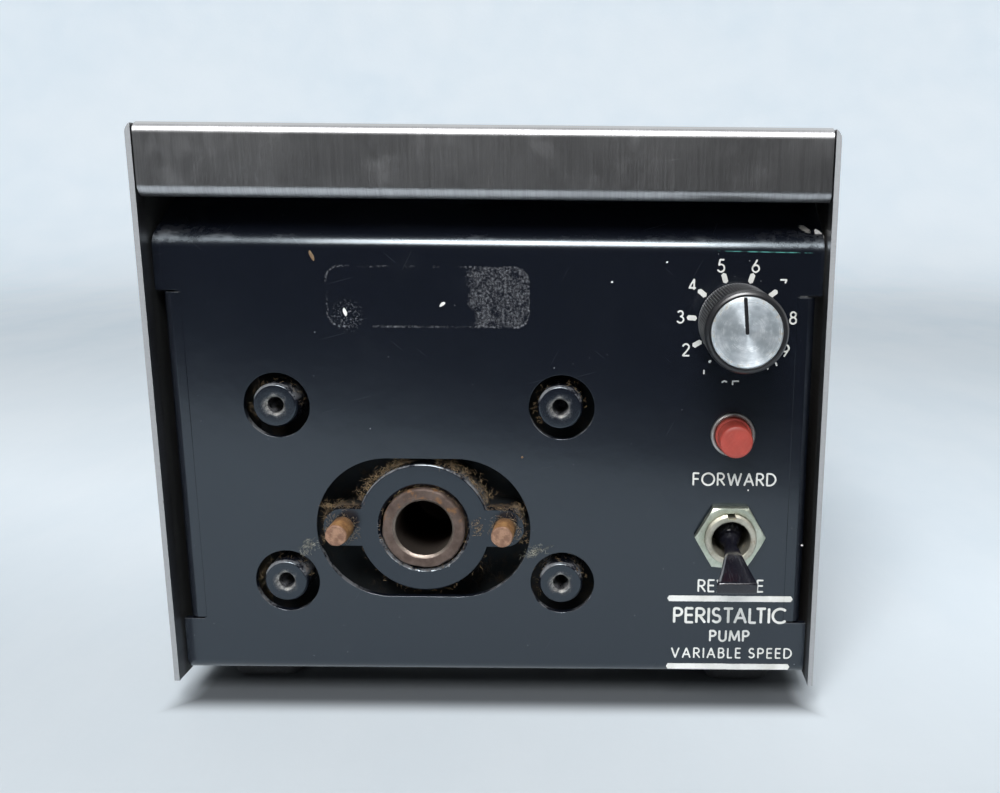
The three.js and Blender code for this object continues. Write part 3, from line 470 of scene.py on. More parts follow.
def enamel_base(s):
    """Colour, roughness and relief that all the black enamelled pieces share."""
    smudge = s.noise(38, 3, 0.6)
    grain = s.noise(1.4, 3, 0.6)
    specks = s.specks(3.6, 0.30, 0.042) + s.specks(1.9, 0.14, 0.050, shift=11)
    hairs = scratches(s, 7, 0.0008, 28, 3) + scratches(s, 5, 0.0008, -50, 9)
    hairs = hairs + scratches(s, 9, 0.0007, 75, 21)
    haze = s.noise(16, 4, 0.65, shift=5).between(0.56, 0.80)
    # Edges that face up and forwards carry a painted highlight, in the dust colour.
    up = s.facing_up()
    edge = up.between(0.12, 0.40) * up.between(0.98, 0.80) * s.axis("Z").between(CREASE - 1, CREASE - 4)
    edge = edge * s.noise(2.4, 4, 0.7, shift=17).between(0.36, 0.58)
    # pale holds the specks, hairs and haze, and the painted edge highlight
    pale = specks * 0.7 + hairs * 0.08 + haze * 0.006 + edge * 0.55
    crease = s.axis("Z").between(CREASE - 1.5, CREASE + 0.5) * s.axis("Z").between(CREASE + 6, CREASE + 2)
    roughness = 0.15 + crease * 0.07 + smudge * 0.09 + hairs * 0.15 + specks * 0.4 + haze * 0.06
    s.bump(grain, 0.006)
    s.bump(s.noise(7, 2), 0.035)
    return pale, roughness


def plain_enamel():
    """Black enamel without the front panel's marks."""
    s = Surface("plain_enamel")
    pale, roughness = enamel_base(s)
    return s.done(
        Base_Color=s.mix(pale, ENAMEL, DUST_AND_HIGHLIGHT), Roughness=roughness, Coat_Weight=0.2, Coat_Roughness=0.08,
        Specular_Tint=BLUISH,
    )


def black_enamel():
    """The front panel's enamel, with the marks that its use has left on it, and a painted highlight along the
    crease.
    """
    s = Surface("black_enamel")
    pale, roughness = enamel_base(s)
    x, z = s.axis("X"), s.axis("Z")
    grit = s.noise(0.55, 4, 0.75)
    patchy = s.noise(5, 3, 0.6, shift=2)

    # What is left of a stuck label: its outline, and a torn patch of glue at its right end.
    across = (x - LABEL["x"]).calc("ABSOLUTE") - (LABEL["half_x"] - LABEL["radius"])
    up = (z - LABEL["z"]).calc("ABSOLUTE") - (LABEL["half_z"] - LABEL["radius"])
    outside = across.calc("MAXIMUM", 0.0)
    above = up.calc("MAXIMUM", 0.0)
    corner = (outside * outside + above * above).calc("SQRT")
    inner = across.calc("MAXIMUM", up).calc("MINIMUM", 0.0)
    edge = corner + inner - LABEL["radius"]
    line = edge.calc("ABSOLUTE").between(0.34, 0.10) * grit.between(0.46, 0.66) * patchy.between(0.42, 0.60)
    inside = edge.between(0.2, -0.2)
    torn = (x + s.noise(3.4, 4, 0.7) * 9).between(-0.6, 1.2)
    glue = inside * torn * (grit.between(0.42, 0.72) * 0.8 + 0.10) * s.noise(2.2, 4, 0.7).between(0.35, 0.6)
    crumbs = s.from_axis(-32, 93.5).between(4.5, 1.5) * grit.between(0.52, 0.66) * 0.7
    residue = line * 0.42 + glue * 0.45 + crumbs * 0.5

    # A long scratch under the crease. Along the crease itself and at its ends, a paler band that is partly rubbed
    # paint and partly a painted highlight.
    scratch = (z - 108.45 + (x - 60) * 0.012).calc("ABSOLUTE").between(0.16, 0.05)
    scratch = scratch * x.between(50, 56) * x.between(72.5, 69) * s.noise(1.6, 2).between(0.35, 0.6)
    rubbed = (z - 110.6).calc("ABSOLUTE").between(1.4, 0.3)
    rubbed = rubbed * s.noise(4, 4, 0.75, (2.5, 1, 1)).between(0.5, 0.75)
    dull = s.noise(9, 4, 0.6, (3, 1, 1), shift=8).between(0.5, 0.7) * z.between(107, 112) * 0.02
    ends = x.calc("ABSOLUTE").between(55, 73) * (z - 111).calc("ABSOLUTE").between(2.6, 0.6)
    ends = ends * s.noise(2.4, 5, 0.75).between(0.42, 0.7)
    # A chip near the panel's right end, longer along its slant than across it.
    away = x - 70.6
    slant = z - 113.4 + x * 0.35 - 24.7
    chip = (away * away * 0.35 + slant * slant).calc("SQRT")
    chip = (chip + (grit - 0.5) * 1.2).between(0.75, 0.45)

    colour = s.paint(
        ENAMEL,
        (pale + dull, DUST_AND_HIGHLIGHT),
        (residue, (0.36, 0.36, 0.38)),
        (scratch * 0.8, (0.10, 0.36, 0.32)),
        # paler band along the crease: partly rubbed paint, partly a painted highlight
        (rubbed * 0.10 + ends * 0.16, (0.30, 0.31, 0.33)),
        (chip * 0.9, (0.62, 0.60, 0.56)),
    )
    s.bump(residue * grit, 0.05)
    return s.done(
        Base_Color=colour,
        Roughness=roughness + residue * 0.5 + rubbed * 0.25 + ends * 0.3,
        Coat_Weight=0.2,
        Coat_Roughness=0.08,
        Specular_IOR_Level=0.6,
        Specular_Tint=BLUISH,
    )


def black_casting():
    """Enamelled castings with brown oily dirt in the hollows, and painted shade that darkens them the deeper they
    lie.
    """
    s = Surface("black_casting")
    pale, roughness = enamel_base(s)
    grit = s.noise(0.5, 4, 0.75)
    deep = s.axis("Y").between(2.5, 9)
    dirt = s.noise(5, 5, 0.7, shift=4).between(0.50, 0.70) * deep * grit.between(0.3, 0.6)
    colour = s.paint(
        ENAMEL,
        (pale, DUST_AND_HIGHLIGHT),
        # painted shade: darker the deeper the casting lies behind the panel
        (deep, (0.0022, 0.0020, 0.0018)),
        (dirt * 0.6, (0.060, 0.036, 0.014)),
    )
    s.bump(dirt * grit, 0.10)
    return s.done(
        Base_Color=colour, Roughness=roughness + dirt * 0.2 + deep * 0.5, Specular_IOR_Level=0.6,
        Specular_Tint=BLUISH,
    )


def standoff_enamel():
    """The tapped standoffs: paint worn down to bright metal round the screw hole."""
    s = Surface("standoff_enamel")
    pale, roughness = enamel_base(s)
    reach = s.from_axis()
    grit = s.noise(0.45, 4, 0.8)
    wide = s.noise(1.8, 3, 0.6)
    bare = (reach + (wide - 0.5) * 2.4 + (grit - 0.5) * 2.4).between(2.55, 1.95)
    bare = bare * s.axis("Y").between(0.9, 0.3)
    dull = (reach + (wide - 0.5) * 3).between(3.5, 2.3) * grit.between(0.42, 0.62)
    dirt = s.axis("Y").between(0.6, 3.0) * s.noise(1.6, 4, 0.7).between(0.52, 0.68)
    colour = s.paint(
        ENAMEL,
        (pale, DUST_AND_HIGHLIGHT),
        (dull * 0.25, (0.20, 0.19, 0.18)),
        (bare * grit.between(0.3, 0.6), (0.52, 0.51, 0.48)),
        (dirt * 0.4, (0.10, 0.065, 0.03)),
    )
    s.bump(bare * -1 + grit * 0.5, 0.05)
    return s.done(
        Base_Color=colour,
        Metallic=bare * 0.75,
        Roughness=roughness + bare * 0.25 + dull * 0.3 + dirt * 0.5,
        Specular_IOR_Level=0.6,
        Specular_Tint=BLUISH,
    )


def rusty_steel():
    """The hollow spindle: brown rust, scraped thinner at its mouth and orange in places."""
    s = Surface("rusty_steel")
    reach = s.from_axis()
    grit = s.noise(0.35, 5, 0.75)
    cloud = s.noise(3.2, 4, 0.65)
    fine = s.noise(0.16, 2, 0.6, shift=3)
    brown = s.mix(cloud.between(0.35, 0.65), (0.066, 0.043, 0.034), (0.115, 0.082, 0.068))
    orange = s.noise(2.0, 4, 0.7, shift=6).between(0.50, 0.66) * s.axis("Z").between(-2, 7)
    bright = (reach + (grit - 0.5) * 0.8).between(7.5, 7.0) * (reach - 6.4).between(0.0, 0.2)
    colour = s.paint(
        brown,
        (orange * 0.7, (0.26, 0.120, 0.035)),
        (grit.between(0.56, 0.72) * 0.55, (0.045, 0.026, 0.018)),
        (bright * 0.7, (0.36, 0.31, 0.27)),
        # painted shade: near black further into the bore
        (s.axis("Y").between(2.5, 13), (0.022, 0.012, 0.009)),
    )
    s.bump(grit, 0.09)
    s.bump(cloud + fine * 0.3, 0.08)
    return s.done(
        Base_Color=colour,
        Metallic=bright * 0.7 + 0.35,
        Roughness=0.52 + grit * 0.2 - bright * 0.22,
        Specular_IOR_Level=0.4,
    )


def rusty_stud():
    """A locating stud: orange rust down its side and a pinker tip."""
    s = Surface("rusty_stud")
    grit = s.noise(0.35, 5, 0.75)
    cloud = s.noise(1.7, 4, 0.65)
    tip = s.axis("Y").between(-4.7, -5.4)
    orange = s.mix(cloud.between(0.36, 0.66), (0.20, 0.088, 0.028), (0.37, 0.200, 0.075))
    face = s.mix(cloud.between(0.4, 0.62), (0.18, 0.092, 0.056), (0.31, 0.178, 0.112))
    colour = s.mix(tip, orange, face)
    colour = s.mix(grit.between(0.56, 0.70) * 0.55, colour, (0.105, 0.042, 0.018))
    root = s.axis("Y").between(-2.6, 0.4) * grit.between(0.35, 0.6)
    colour = s.mix(root * 0.75, colour, (0.075, 0.045, 0.024))
    s.bump(grit, 0.10)
    s.bump(cloud, 0.10)
    return s.done(Base_Color=colour, Metallic=0.15, Roughness=0.55 + grit * 0.2, Specular_IOR_Level=0.5)


def brushed_stainless():
    """The cover: grain from front to back, straight down the lip and lengthways along the sides."""
    s = Surface("brushed_stainless")
    reach = s.axis("X").calc("ABSOLUTE")
    side = reach.between(74.6, 74.9)

    def streaks(size, detail, stretch_x, stretch_z, shift):
        along_x = s.noise(size, detail, 0.6, stretch_x, shift=shift)
        along_z = s.noise(size, detail, 0.6, stretch_z, shift=shift)
        return along_x + (along_z - along_x) * side

    fine = streaks(0.16, 2, (1, 160, 160), (160, 160, 1), 0)
    coarse = streaks(1.1, 3, (1, 90, 90), (90, 90, 1), 7)
    grain = streaks(0.22, 3, (1, 70, 70), (70, 70, 1), 17).between(0.40, 0.62)
    cloud = s.noise(26, 4, 0.6, shift=3)
    blotch = s.noise(9, 3, 0.6, shift=12).between(0.5, 0.75)
    marks = scratches(s, 8, 0.0006, 84, 5, 0.04) + scratches(s, 5, 0.0008, 60, 14, 0.035)
    marks = marks + scratches(s, 3, 0.0008, -68, 25, 0.035)
    nicks = s.specks(6, 0.20, 0.030, (1, 1, 1.8)) + s.specks(2.7, 0.06, 0.04, shift=19)
    # The faces inside the case get painted shade, lighter on the left, where a paler tone stands in for light. The
    # sheared front edges are dull and pale.
    left = s.axis("X").between(0, -10)
    inside = reach.between(75.5, 74.9) * s.axis("Y").between(-2.4, 1.0) * s.axis("Z").between(134.1, 133.6)
    sheared = s.axis("Y").between(-4.45, -4.6) * reach.between(74.7, 74.85)
    colour = s.paint(
        (0.33, 0.33, 0.338),
        (cloud.between(0.3, 0.7), (0.44, 0.44, 0.448)),
        (coarse.between(0.35, 0.65) * 0.25, (0.40, 0.395, 0.40)),
        (grain * 0.5, (0.24, 0.24, 0.245)),
        (marks * 0.25 + nicks * 0.4, (0.86, 0.86, 0.86)),
        # painted shade inside the case, and a paler painted patch of light on its left
        (inside * 0.9, (0.055, 0.050, 0.045)),
        (inside * left * 0.7, (0.24, 0.25, 0.245)),
        # painted highlight: the roof's outer face is paler than the rest of the sheet
        (s.axis("Z").between(134.0, 134.5), (0.66, 0.665, 0.67)),
        (sheared, (0.31, 0.32, 0.33)),
    )
    roughness = 0.25 + fine * 0.14 + cloud * 0.08 + blotch * 0.06 + nicks * 0.3 + grain * 0.05
    roughness = roughness + inside * 0.2 + sheared * 0.30
    s.bump(fine + coarse * 0.5, 0.010)
    s.bump(marks * 0.4 + nicks, -0.012)
    tangent = s.node("CombineXYZ")
    s.feed(tangent.inputs[0], 1 - side)
    s.feed(tangent.inputs[2], side)
    s.tree.links.new(tangent.outputs[0], s.shader.inputs["Tangent"])
    return s.done(Base_Color=colour, Metallic=1.0, Roughness=roughness, Anisotropic=0.55)


def plated(name, first, second, rough=0.32, dull=(0.30, 0.29, 0.25), share=0.35):
    """Plated or bare metal with a faint colour drift, tarnish spots and fine scratches."""
    s = Surface(name)
    cloud = s.noise(4.5, 4, 0.65)
    grit = s.noise(0.5, 4, 0.7)
    marks = scratches(s, 2.2, 0.20, 35, 4, 0.03) + scratches(s, 3.0, 0.2, -28, 8, 0.03)
    tarnish = s.noise(1.5, 5, 0.7, shift=6).between(0.52, 0.70)
    colour = s.paint(
        first,
        (cloud.between(0.35, 0.65), second),
        (tarnish * share, dull),
        (marks * 0.3, tuple(min(1, c * 1.5) for c in second)),
    )
    s.bump(grit, 0.015)
    s.bump(marks, -0.01)
    return s.done(
        Base_Color=colour, Metallic=1.0 - tarnish * 0.25, Roughness=rough + grit * 0.16 + tarnish * 0.2,
    )


def spun_aluminium():
    """The knob's inlay: spun rings that catch the light in a wedge, dulled by handling and dirt."""
    s = Surface("spun_aluminium")
    reach = s.from_axis()

    def ring_noise(size, detail, shift):
        made = s.node("TexNoise", noise_dimensions="1D")
        s.feed(made.inputs["W"], reach * (1 / size) + shift)
        made.inputs["Scale"].default_value = 1
        made.inputs["Detail"].default_value = detail
        return Amount(s, made.outputs[0])

    fine = ring_noise(0.10, 2, 3)
    broad = ring_noise(0.9, 3, 11)
    cloud = s.noise(2.6, 4, 0.65)
    arcs = fine.between(0.50, 0.66) * s.noise(1.6, 3, 0.6, shift=5).between(0.44, 0.62)
    stain = (reach + (s.noise(1.8, 4, 0.7) - 0.5) * 4.5).between(5.9, 7.6)
    worn = s.noise(0.8, 4, 0.7, shift=9).between(0.5, 0.7)
    colour = s.paint(
        (0.44, 0.495, 0.53),
        (cloud.between(0.35, 0.65), (0.61, 0.66, 0.70)),
        (broad.between(0.4, 0.6) * 0.3, (0.46, 0.51, 0.55)),
        (arcs * 0.7, (0.95, 0.97, 0.98)),
        (stain * worn * 0.75, (0.50, 0.39, 0.23)),
    )
    s.bump(fine + broad, 0.012)
    tangent = s.node("Tangent", direction_type="RADIAL", axis="Y")
    s.tree.links.new(tangent.outputs[0], s.shader.inputs["Tangent"])
    return s.done(
        Base_Color=colour,
        Metallic=0.62 - stain * 0.2 - arcs * 0.25,
        Roughness=0.28 + cloud * 0.08 + arcs * 0.12 + stain * 0.15,
        Anisotropic=0.85,
        Anisotropic_Rotation=0.25,
    )


def plastic(name, colour, pale, rough=0.3, grain=0.01, dust=0.25):
    """Moulded plastic or rubber with a fine grain, rubbed spots and settled dust."""
    s = Surface(name)
    cloud = s.noise(5, 4, 0.6)
    grit = s.noise(0.6, 4, 0.7)
    marks = scratches(s, 2.5, 0.15, 40, 5, 0.03) + scratches(s, 3.5, 0.12, -35, 13, 0.03)
    specks = s.specks(1.4, 0.22, 0.06) + s.noise(1.1, 4, 0.7, shift=7).between(0.60, 0.78) * 0.4
    drift = s.mix(cloud.between(0.3, 0.7), colour, tuple(c * 1.35 for c in colour))
    s.bump(grit, grain)
    return s.done(
        Base_Color=s.mix(specks * dust + marks * 0.2, drift, pale),
        Roughness=rough + cloud * 0.14 + specks * 0.2,
        Specular_IOR_Level=0.5,
    )


def knob_plastic():
    """Black plastic whose ridge tops are painted grey: partly wear, partly a painted highlight."""
    s = Surface("knob_plastic")
    low, high = span("speed_knob")
    radius = (high.x - low.x) / 2
    grit = s.noise(0.5, 4, 0.7)
    cloud = s.noise(3, 3, 0.6)
    grip = s.axis("Y").between(low.y + 1.2, low.y + 1.4)
    ridge = s.from_axis().between(radius - 0.26, radius - 0.05) * grip
    specks = s.specks(1.2, 0.25, 0.07) + s.noise(0.9, 4, 0.7, shift=7).between(0.60, 0.78) * 0.4
    colour = s.paint(
        (0.0075, 0.0078, 0.0095),
        (cloud.between(0.3, 0.7), (0.012, 0.012, 0.014)),
        # ridge tops painted grey: partly wear, partly a painted highlight
        (ridge * (cloud * 0.6 + 0.45), (0.15, 0.155, 0.165)),
        (specks * 0.25, (0.22, 0.22, 0.23)),
    )
    s.bump(grit, 0.015)
    return s.done(Base_Color=colour, Roughness=0.24 + grit * 0.16, Specular_IOR_Level=0.5)


def circuit_board():
    s = Surface("circuit_board")
    tracks = s.noise(2.2, 1, 0.3, (1, 3, 1)).between(0.48, 0.50)
    grit = s.noise(0.6, 3, 0.6)
    pads = s.specks(3.1, 0.5, 0.22)
    colour = s.paint(
        (0.028, 0.085, 0.036),
        (tracks, (0.050, 0.135, 0.055)),
        (pads * 0.8, (0.55, 0.56, 0.55)),
        (grit.between(0.58, 0.75) * 0.4, (0.17, 0.15, 0.12)),
    )
    s.bump(tracks + pads, 0.03)
    return s.done(Base_Color=colour, Metallic=pads * 0.9, Roughness=0.45 + grit * 0.2)


def white_ink():
    """Silk-screened ink, a little yellowed and rubbed."""
    s = Surface("white_ink")
    grit = s.noise(0.35, 4, 0.75)
    cloud = s.noise(6, 3, 0.6)
    colour = s.mix(cloud.between(0.3, 0.7), (0.58, 0.585, 0.55), (0.73, 0.735, 0.71))
    colour = s.mix(grit.between(0.58, 0.72) * 0.5, colour, (0.22, 0.22, 0.22))
    s.bump(grit, 0.012)
    return s.done(Base_Color=colour, Roughness=0.5 + grit * 0.2)


def lint_fibre(name, dark, light):
    s = Surface(name)
    colour = s.mix(s.noise(1.3, 3, 0.6).between(0.35, 0.65), dark, light)
    s.bump(s.noise(0.2, 3, 0.7), 0.02)
    return s.done(Base_Color=colour, Roughness=0.85, Sheen_Weight=0.3)


def pale_paper(name, glow=0.0):
    """Matt blue-white paper with faint mottling. The sweep's paper has a glow, which lifts it far out,
    where little light reaches it; the table's has none."""
    s = Surface(name)
    mottle = s.noise(55, 4, 0.6, (1, 2.2, 1))
    cloud = s.noise(420, 2, 0.5, shift=3)
    weave = s.noise(4, 3, 0.7)
    colour = s.paint(
        (0.70, 0.795, 0.875),
        (mottle.between(0.25, 0.75), (0.755, 0.835, 0.905)),
        (cloud.between(0.3, 0.7) * 0.5, (0.80, 0.86, 0.91)),
        (weave.between(0.55, 0.8) * 0.12, (0.82, 0.88, 0.93)),
    )
    s.bump(weave, 0.06)
    s.bump(mottle, 1.0)
    far = (s.axis("X") * s.axis("X") + s.axis("Y") * s.axis("Y")).calc("SQRT").between(450, 1700)
    if glow:
        s.feed(s.shader.inputs["Emission Color"], colour)
        # The sweep has painted shade in front of the unit, and a painted shadow under it.
        near = (s.axis("Y") + s.axis("X") * 0.3).between(40, -150)
        under = (s.axis("X").calc("ABSOLUTE") - 73).calc("MAXIMUM", s.axis("Y").calc("ABSOLUTE") - 90)
        colour = s.mix(near * 0.30, colour, (0, 0, 0))
        colour = s.mix(under.between(7, -2) * 0.88, colour, (0.01, 0.012, 0.016))
    else:
        # The table has painted shade towards its slanting front edge, which the panel mirrors.
        light = (s.axis("Y") * 0.8807 - s.axis("X") * 0.4736 + 332).between(58, 150)
        colour = s.mix(light * light * light * 0.90 + 0.10, (0, 0, 0), colour)
    return s.done(
        Base_Color=colour, Roughness=0.9, Specular_IOR_Level=0.2, Emission_Strength=far * glow,
    )


# name: two base colours, then roughness, tarnish colour and how much of it
METALS = {
    "zinc_sheet": ((0.50, 0.50, 0.44), (0.60, 0.59, 0.52), 0.34),
    "plated_hardware": ((0.43, 0.47, 0.38), (0.58, 0.61, 0.52), 0.30, (0.30, 0.27, 0.20), 0.45),
    "bushing_metal": ((0.42, 0.41, 0.34), (0.56, 0.54, 0.46), 0.42, (0.24, 0.17, 0.10), 0.6),
    "cast_aluminium": ((0.50, 0.51, 0.52), (0.62, 0.63, 0.64), 0.42, (0.3, 0.3, 0.3)),
    "bronze": ((0.36, 0.23, 0.10), (0.46, 0.31, 0.15), 0.38, (0.10, 0.07, 0.04), 0.6),
    "steel": ((0.45, 0.45, 0.46), (0.58, 0.58, 0.59), 0.28, (0.2, 0.17, 0.14), 0.3),
    "brass": ((0.58, 0.43, 0.17), (0.68, 0.53, 0.26), 0.28, (0.3, 0.2, 0.1), 0.4),
    "copper": ((0.60, 0.28, 0.15), (0.72, 0.38, 0.22), 0.28, (0.22, 0.10, 0.06), 0.4),
    "bezel": ((0.34, 0.33, 0.32), (0.50, 0.49, 0.47), 0.36, (0.16, 0.14, 0.12), 0.5),
}
# name: base colour and its dusty colour, then roughness, depth of grain and amount of dust
PLASTICS = {
    "black_plastic": ((0.0085, 0.0085, 0.0105), (0.24, 0.24, 0.25), 0.20),
    "lever_plastic": ((0.006, 0.006, 0.010), (0.20, 0.20, 0.22), 0.07, 0.003, 0.04),
    "red_plastic": ((0.34, 0.046, 0.032), (0.58, 0.26, 0.21), 0.38, 0.015, 0.30),
    "nylon": ((0.56, 0.53, 0.44), (0.70, 0.68, 0.62), 0.4, 0.02, 0.3),
    "ferrite": ((0.035, 0.035, 0.037), (0.12, 0.12, 0.12), 0.6, 0.06, 0.3),
    "rubber": ((0.010, 0.010, 0.011), (0.16, 0.155, 0.15), 0.62, 0.05, 0.45),
}
FIBRES = {
    "tan_lint": ((0.145, 0.085, 0.036), (0.36, 0.25, 0.125)),
    "grey_lint": ((0.17, 0.16, 0.12), (0.46, 0.45, 0.36)),
    "pale_fleck": ((0.55, 0.54, 0.52), (0.82, 0.81, 0.79)),
}
MATERIALS = {
    "stainless_cover": brushed_stainless(),
    "black_paint": plain_enamel(),
    "front_enamel": black_enamel(),
    "black_casting": black_casting(),
    "standoff": standoff_enamel(),
    "rusty_steel": rusty_steel(),
    "rusty_stud": rusty_stud(),
    "spun_aluminium": spun_aluminium(),
    "knob_plastic": knob_plastic(),
    "circuit_board": circuit_board(),
    "ink": white_ink(),
    "floor": pale_paper("table_paper"),
    "sweep": pale_paper("sweep_paper", 0.42),
}
for recipe, looks in ((plated, METALS), (plastic, PLASTICS), (lint_fibre, FIBRES)):
    MATERIALS.update({name: recipe(name, *look) for name, look in looks.items()})


# ---------------------------------------------------------------- CAD nodes that stay as they are


def dress_cad_nodes():
    """Gives every CAD node its slot's material and eases the edges of its facets. Those that a piece
    replaces are hidden later."""
    for sub_part in frame["record"]["subparts"]:
        node = frame["nodes"][sub_part["node"]]
        node.data.materials.clear()
        node.data.materials.append(MATERIALS[sub_part["material_slot"]])
        weld = node.modifiers.new("weld", "WELD")
        weld.merge_threshold = 0.002 * MM
        soften(node, 0.15, 2)


# ---------------------------------------------------------------- case


def make_cover():
    low, high = span("cover")
    half = high.x - COVER_SHEET / 2
    roof = high.z - COVER_SHEET / 2
    bend = COVER_BEND - COVER_SHEET / 2
    section = sheet_section(
        [(-half, low.z), (-half, roof, bend), (half, roof, bend), (half, low.z)], COVER_SHEET,
    )
    shell = prism("steel_cover", section, low.y, high.y)
    lip_half = high.x - COVER_SHEET - LIP_GAP
    bend_end = low.y + COVER_BEND
    front_of_roof = prism(
        "front_of_roof",
        box_outline(-lip_half - LIP_GAP, lip_half + LIP_GAP, high.z - COVER_BEND - 2, high.z + 1),
        low.y - 1, bend_end,
    )
    screw_holes = []
    for side in (-1, 1):
        for y in SCREW_Y:
            hole = circle(y, SCREW_Z, SCREW_HOLE, 24)
            screw_holes.append(prism("hole", hole, side * high.x - 2, side * high.x + 2, "X"))
    combine(shell, [merged("cuts", [front_of_roof] + screw_holes)])
    face = low.y + COVER_SHEET / 2
    foot = LIP_BOTTOM + COVER_SHEET / 2
    section = sheet_section(
        [(bend_end + 2, roof), (face, roof, bend), (face, foot, bend), (face + LIP_HEM, foot)], COVER_SHEET,
    )
    combine(shell, [prism("lip", section, -lip_half, lip_half, "X")], "UNION")
    soften(shell, 0.22, 3)
    finish_piece(shell, "stainless_cover", replaced=["cover"])


def make_front_panel():
    low, high = span("front_panel")
    middle = PANEL_SHEET / 2
    section = sheet_section(
        [
            (7, low.z + middle),
            (middle, low.z + middle, 2.2),
            (middle, CREASE, 3.4),
            (middle + RECESS["depth"], CREASE + RECESS["rise"], 2.2),
            (middle + RECESS["depth"], high.z),
        ],
        PANEL_SHEET,
    )
    panel = prism("enamelled_front_panel", section, low.x, high.x, "X")
    turn_in = SIDE_RETURN["half_width"] - middle
    join_at = turn_in - 3
    notches, returns = [], []
    for side in (-1, 1):
        near, far = sorted((side * join_at, side * (high.x + 1)))
        notches.append(
            prism("notch", box_outline(near, far, NOTCH["low"], NOTCH["high"]), -1, PANEL_SHEET + 1)
        )
        fold = sheet_section(
            [
                (side * (join_at - 0.5), middle),
                (side * turn_in, middle, 1.6),
                (side * turn_in, SIDE_RETURN["depth"]),
            ],
            PANEL_SHEET,
        )
        returns.append(prism("return", fold, SIDE_RETURN["low"], SIDE_RETURN["high"], "Z"))
    combine(panel, [merged("notches", notches)])
    combine(panel, [merged("returns", returns)], "UNION")

    def hole(outline):
        return prism("hole", outline, -1, PANEL_SHEET + 1)

    holes = [hole(circle(CONTROL_X, axis_of(node).z, radius)) for node, radius in CONTROL_HOLES.items()]
    holes.append(hole(stadium(CUTOUT["x"], CUTOUT["z"], CUTOUT["width"], CUTOUT["height"])))
    for name in STANDOFFS:
        place = axis_of(name)
        holes.append(hole(circle(place.x + STANDOFF_HOLE["shift"], place.z, STANDOFF_HOLE["radius"])))
    combine(panel, [merged("holes", holes)])
    soften(panel, 0.42, 4)
    finish_piece(panel, "front_enamel", replaced=["front_panel"])


def make_rear_panel():
    low, high = span("rear_panel")
    plate = prism("rear_plate", box_outline(low.x, high.x, low.z, high.z, 2), low.y, high.y)
    outlines = []
    for node in ("cord_grommet", "fuse_holder"):
        place = axis_of(node)
        outlines.append(circle(place.x, place.z, REAR_HOLE))
    for column in range(VENT["count"]):
        x = VENT["x"] + VENT["pitch"] * column
        outlines.append(stadium(x, VENT["z"], VENT["width"], VENT["height"], 10))
    cuts = [prism("hole", outline, low.y - 2, high.y + 2) for outline in outlines]
    combine(plate, [merged("cuts", cuts)])
    soften(plate, 0.3, 3)
    finish_piece(plate, "black_paint", replaced=["rear_panel"])


def make_feet():
    for node in ("foot_front_left", "foot_front_right", "foot_rear_left", "foot_rear_right"):
        low, high = span(node)
        middle = (low + high) / 2
        # (height, half width, corner radius) from the sole up
        levels = [
            (0.0, 7.2, 3.0), (0.25, 7.75, 3.2), (0.8, 8.05, 3.3), (3.0, 8.65, 3.5), (5.5, 9.35, 3.8),
            (7.4, 9.9, 4.0), (8.1, 10.2, 4.0), (8.4, 10.25, 4.0), (8.5, 10.1, 4.0),
        ]
        rings = []
        for height, half, radius in levels:
            outline = box_outline(-half, half, -half, half, radius, 9)
            rings.append([(p.x, p.y, height) for p in outline])
        foot = loft(f"rubber_{node}", rings, (middle.x, middle.y, low.z))
        shade(foot, 50)
        finish_piece(foot, "rubber", replaced=[node])


def make_cover_screws():
    """Pan-head screws with a cross recess, their heads against the cover's sides."""
    for end in ("front", "rear"):
        for hand, side in (("left", -1), ("right", 1)):
            node = f"cover_screw_{end}_{hand}"
            low, high = span(node)
            profile = rounded([
                (0, -2.0), (2.2, -2.0, 1.2), (3.95, -0.9, 0.6), (4.0, -0.05, 0.1), (1.8, 0),
                (1.75, 6.5, 0.3), (0, 7),
            ], steps=6)
            screw = turned(f"pan_head_{end}_{hand}", profile, segments=64)
            for half_x, half_z in ((1.9, 0.42), (0.42, 1.9)):
                arm = box_outline(-half_x, half_x, -half_z, half_z, 0.15, 3)
                combine(screw, [prism("arm", arm, -3, -1.0)])
            soften(screw, 0.08, 2)
            screw.rotation_euler = (0, math.radians(25 * side), 0)
            bpy.context.view_layer.update()
            screw.data.transform(screw.matrix_basis.to_3x3().to_4x4())
            screw.rotation_euler = (0, 0, side * math.pi / 2)
            seat = low.x + 2 if side < 0 else high.x - 2
            screw.location = Vector((seat, (low.y + high.y) / 2, SCREW_Z)) * MM + Vector((0, FACE_Y, 0))
            finish_piece(screw, "zinc_sheet", replaced=[node])


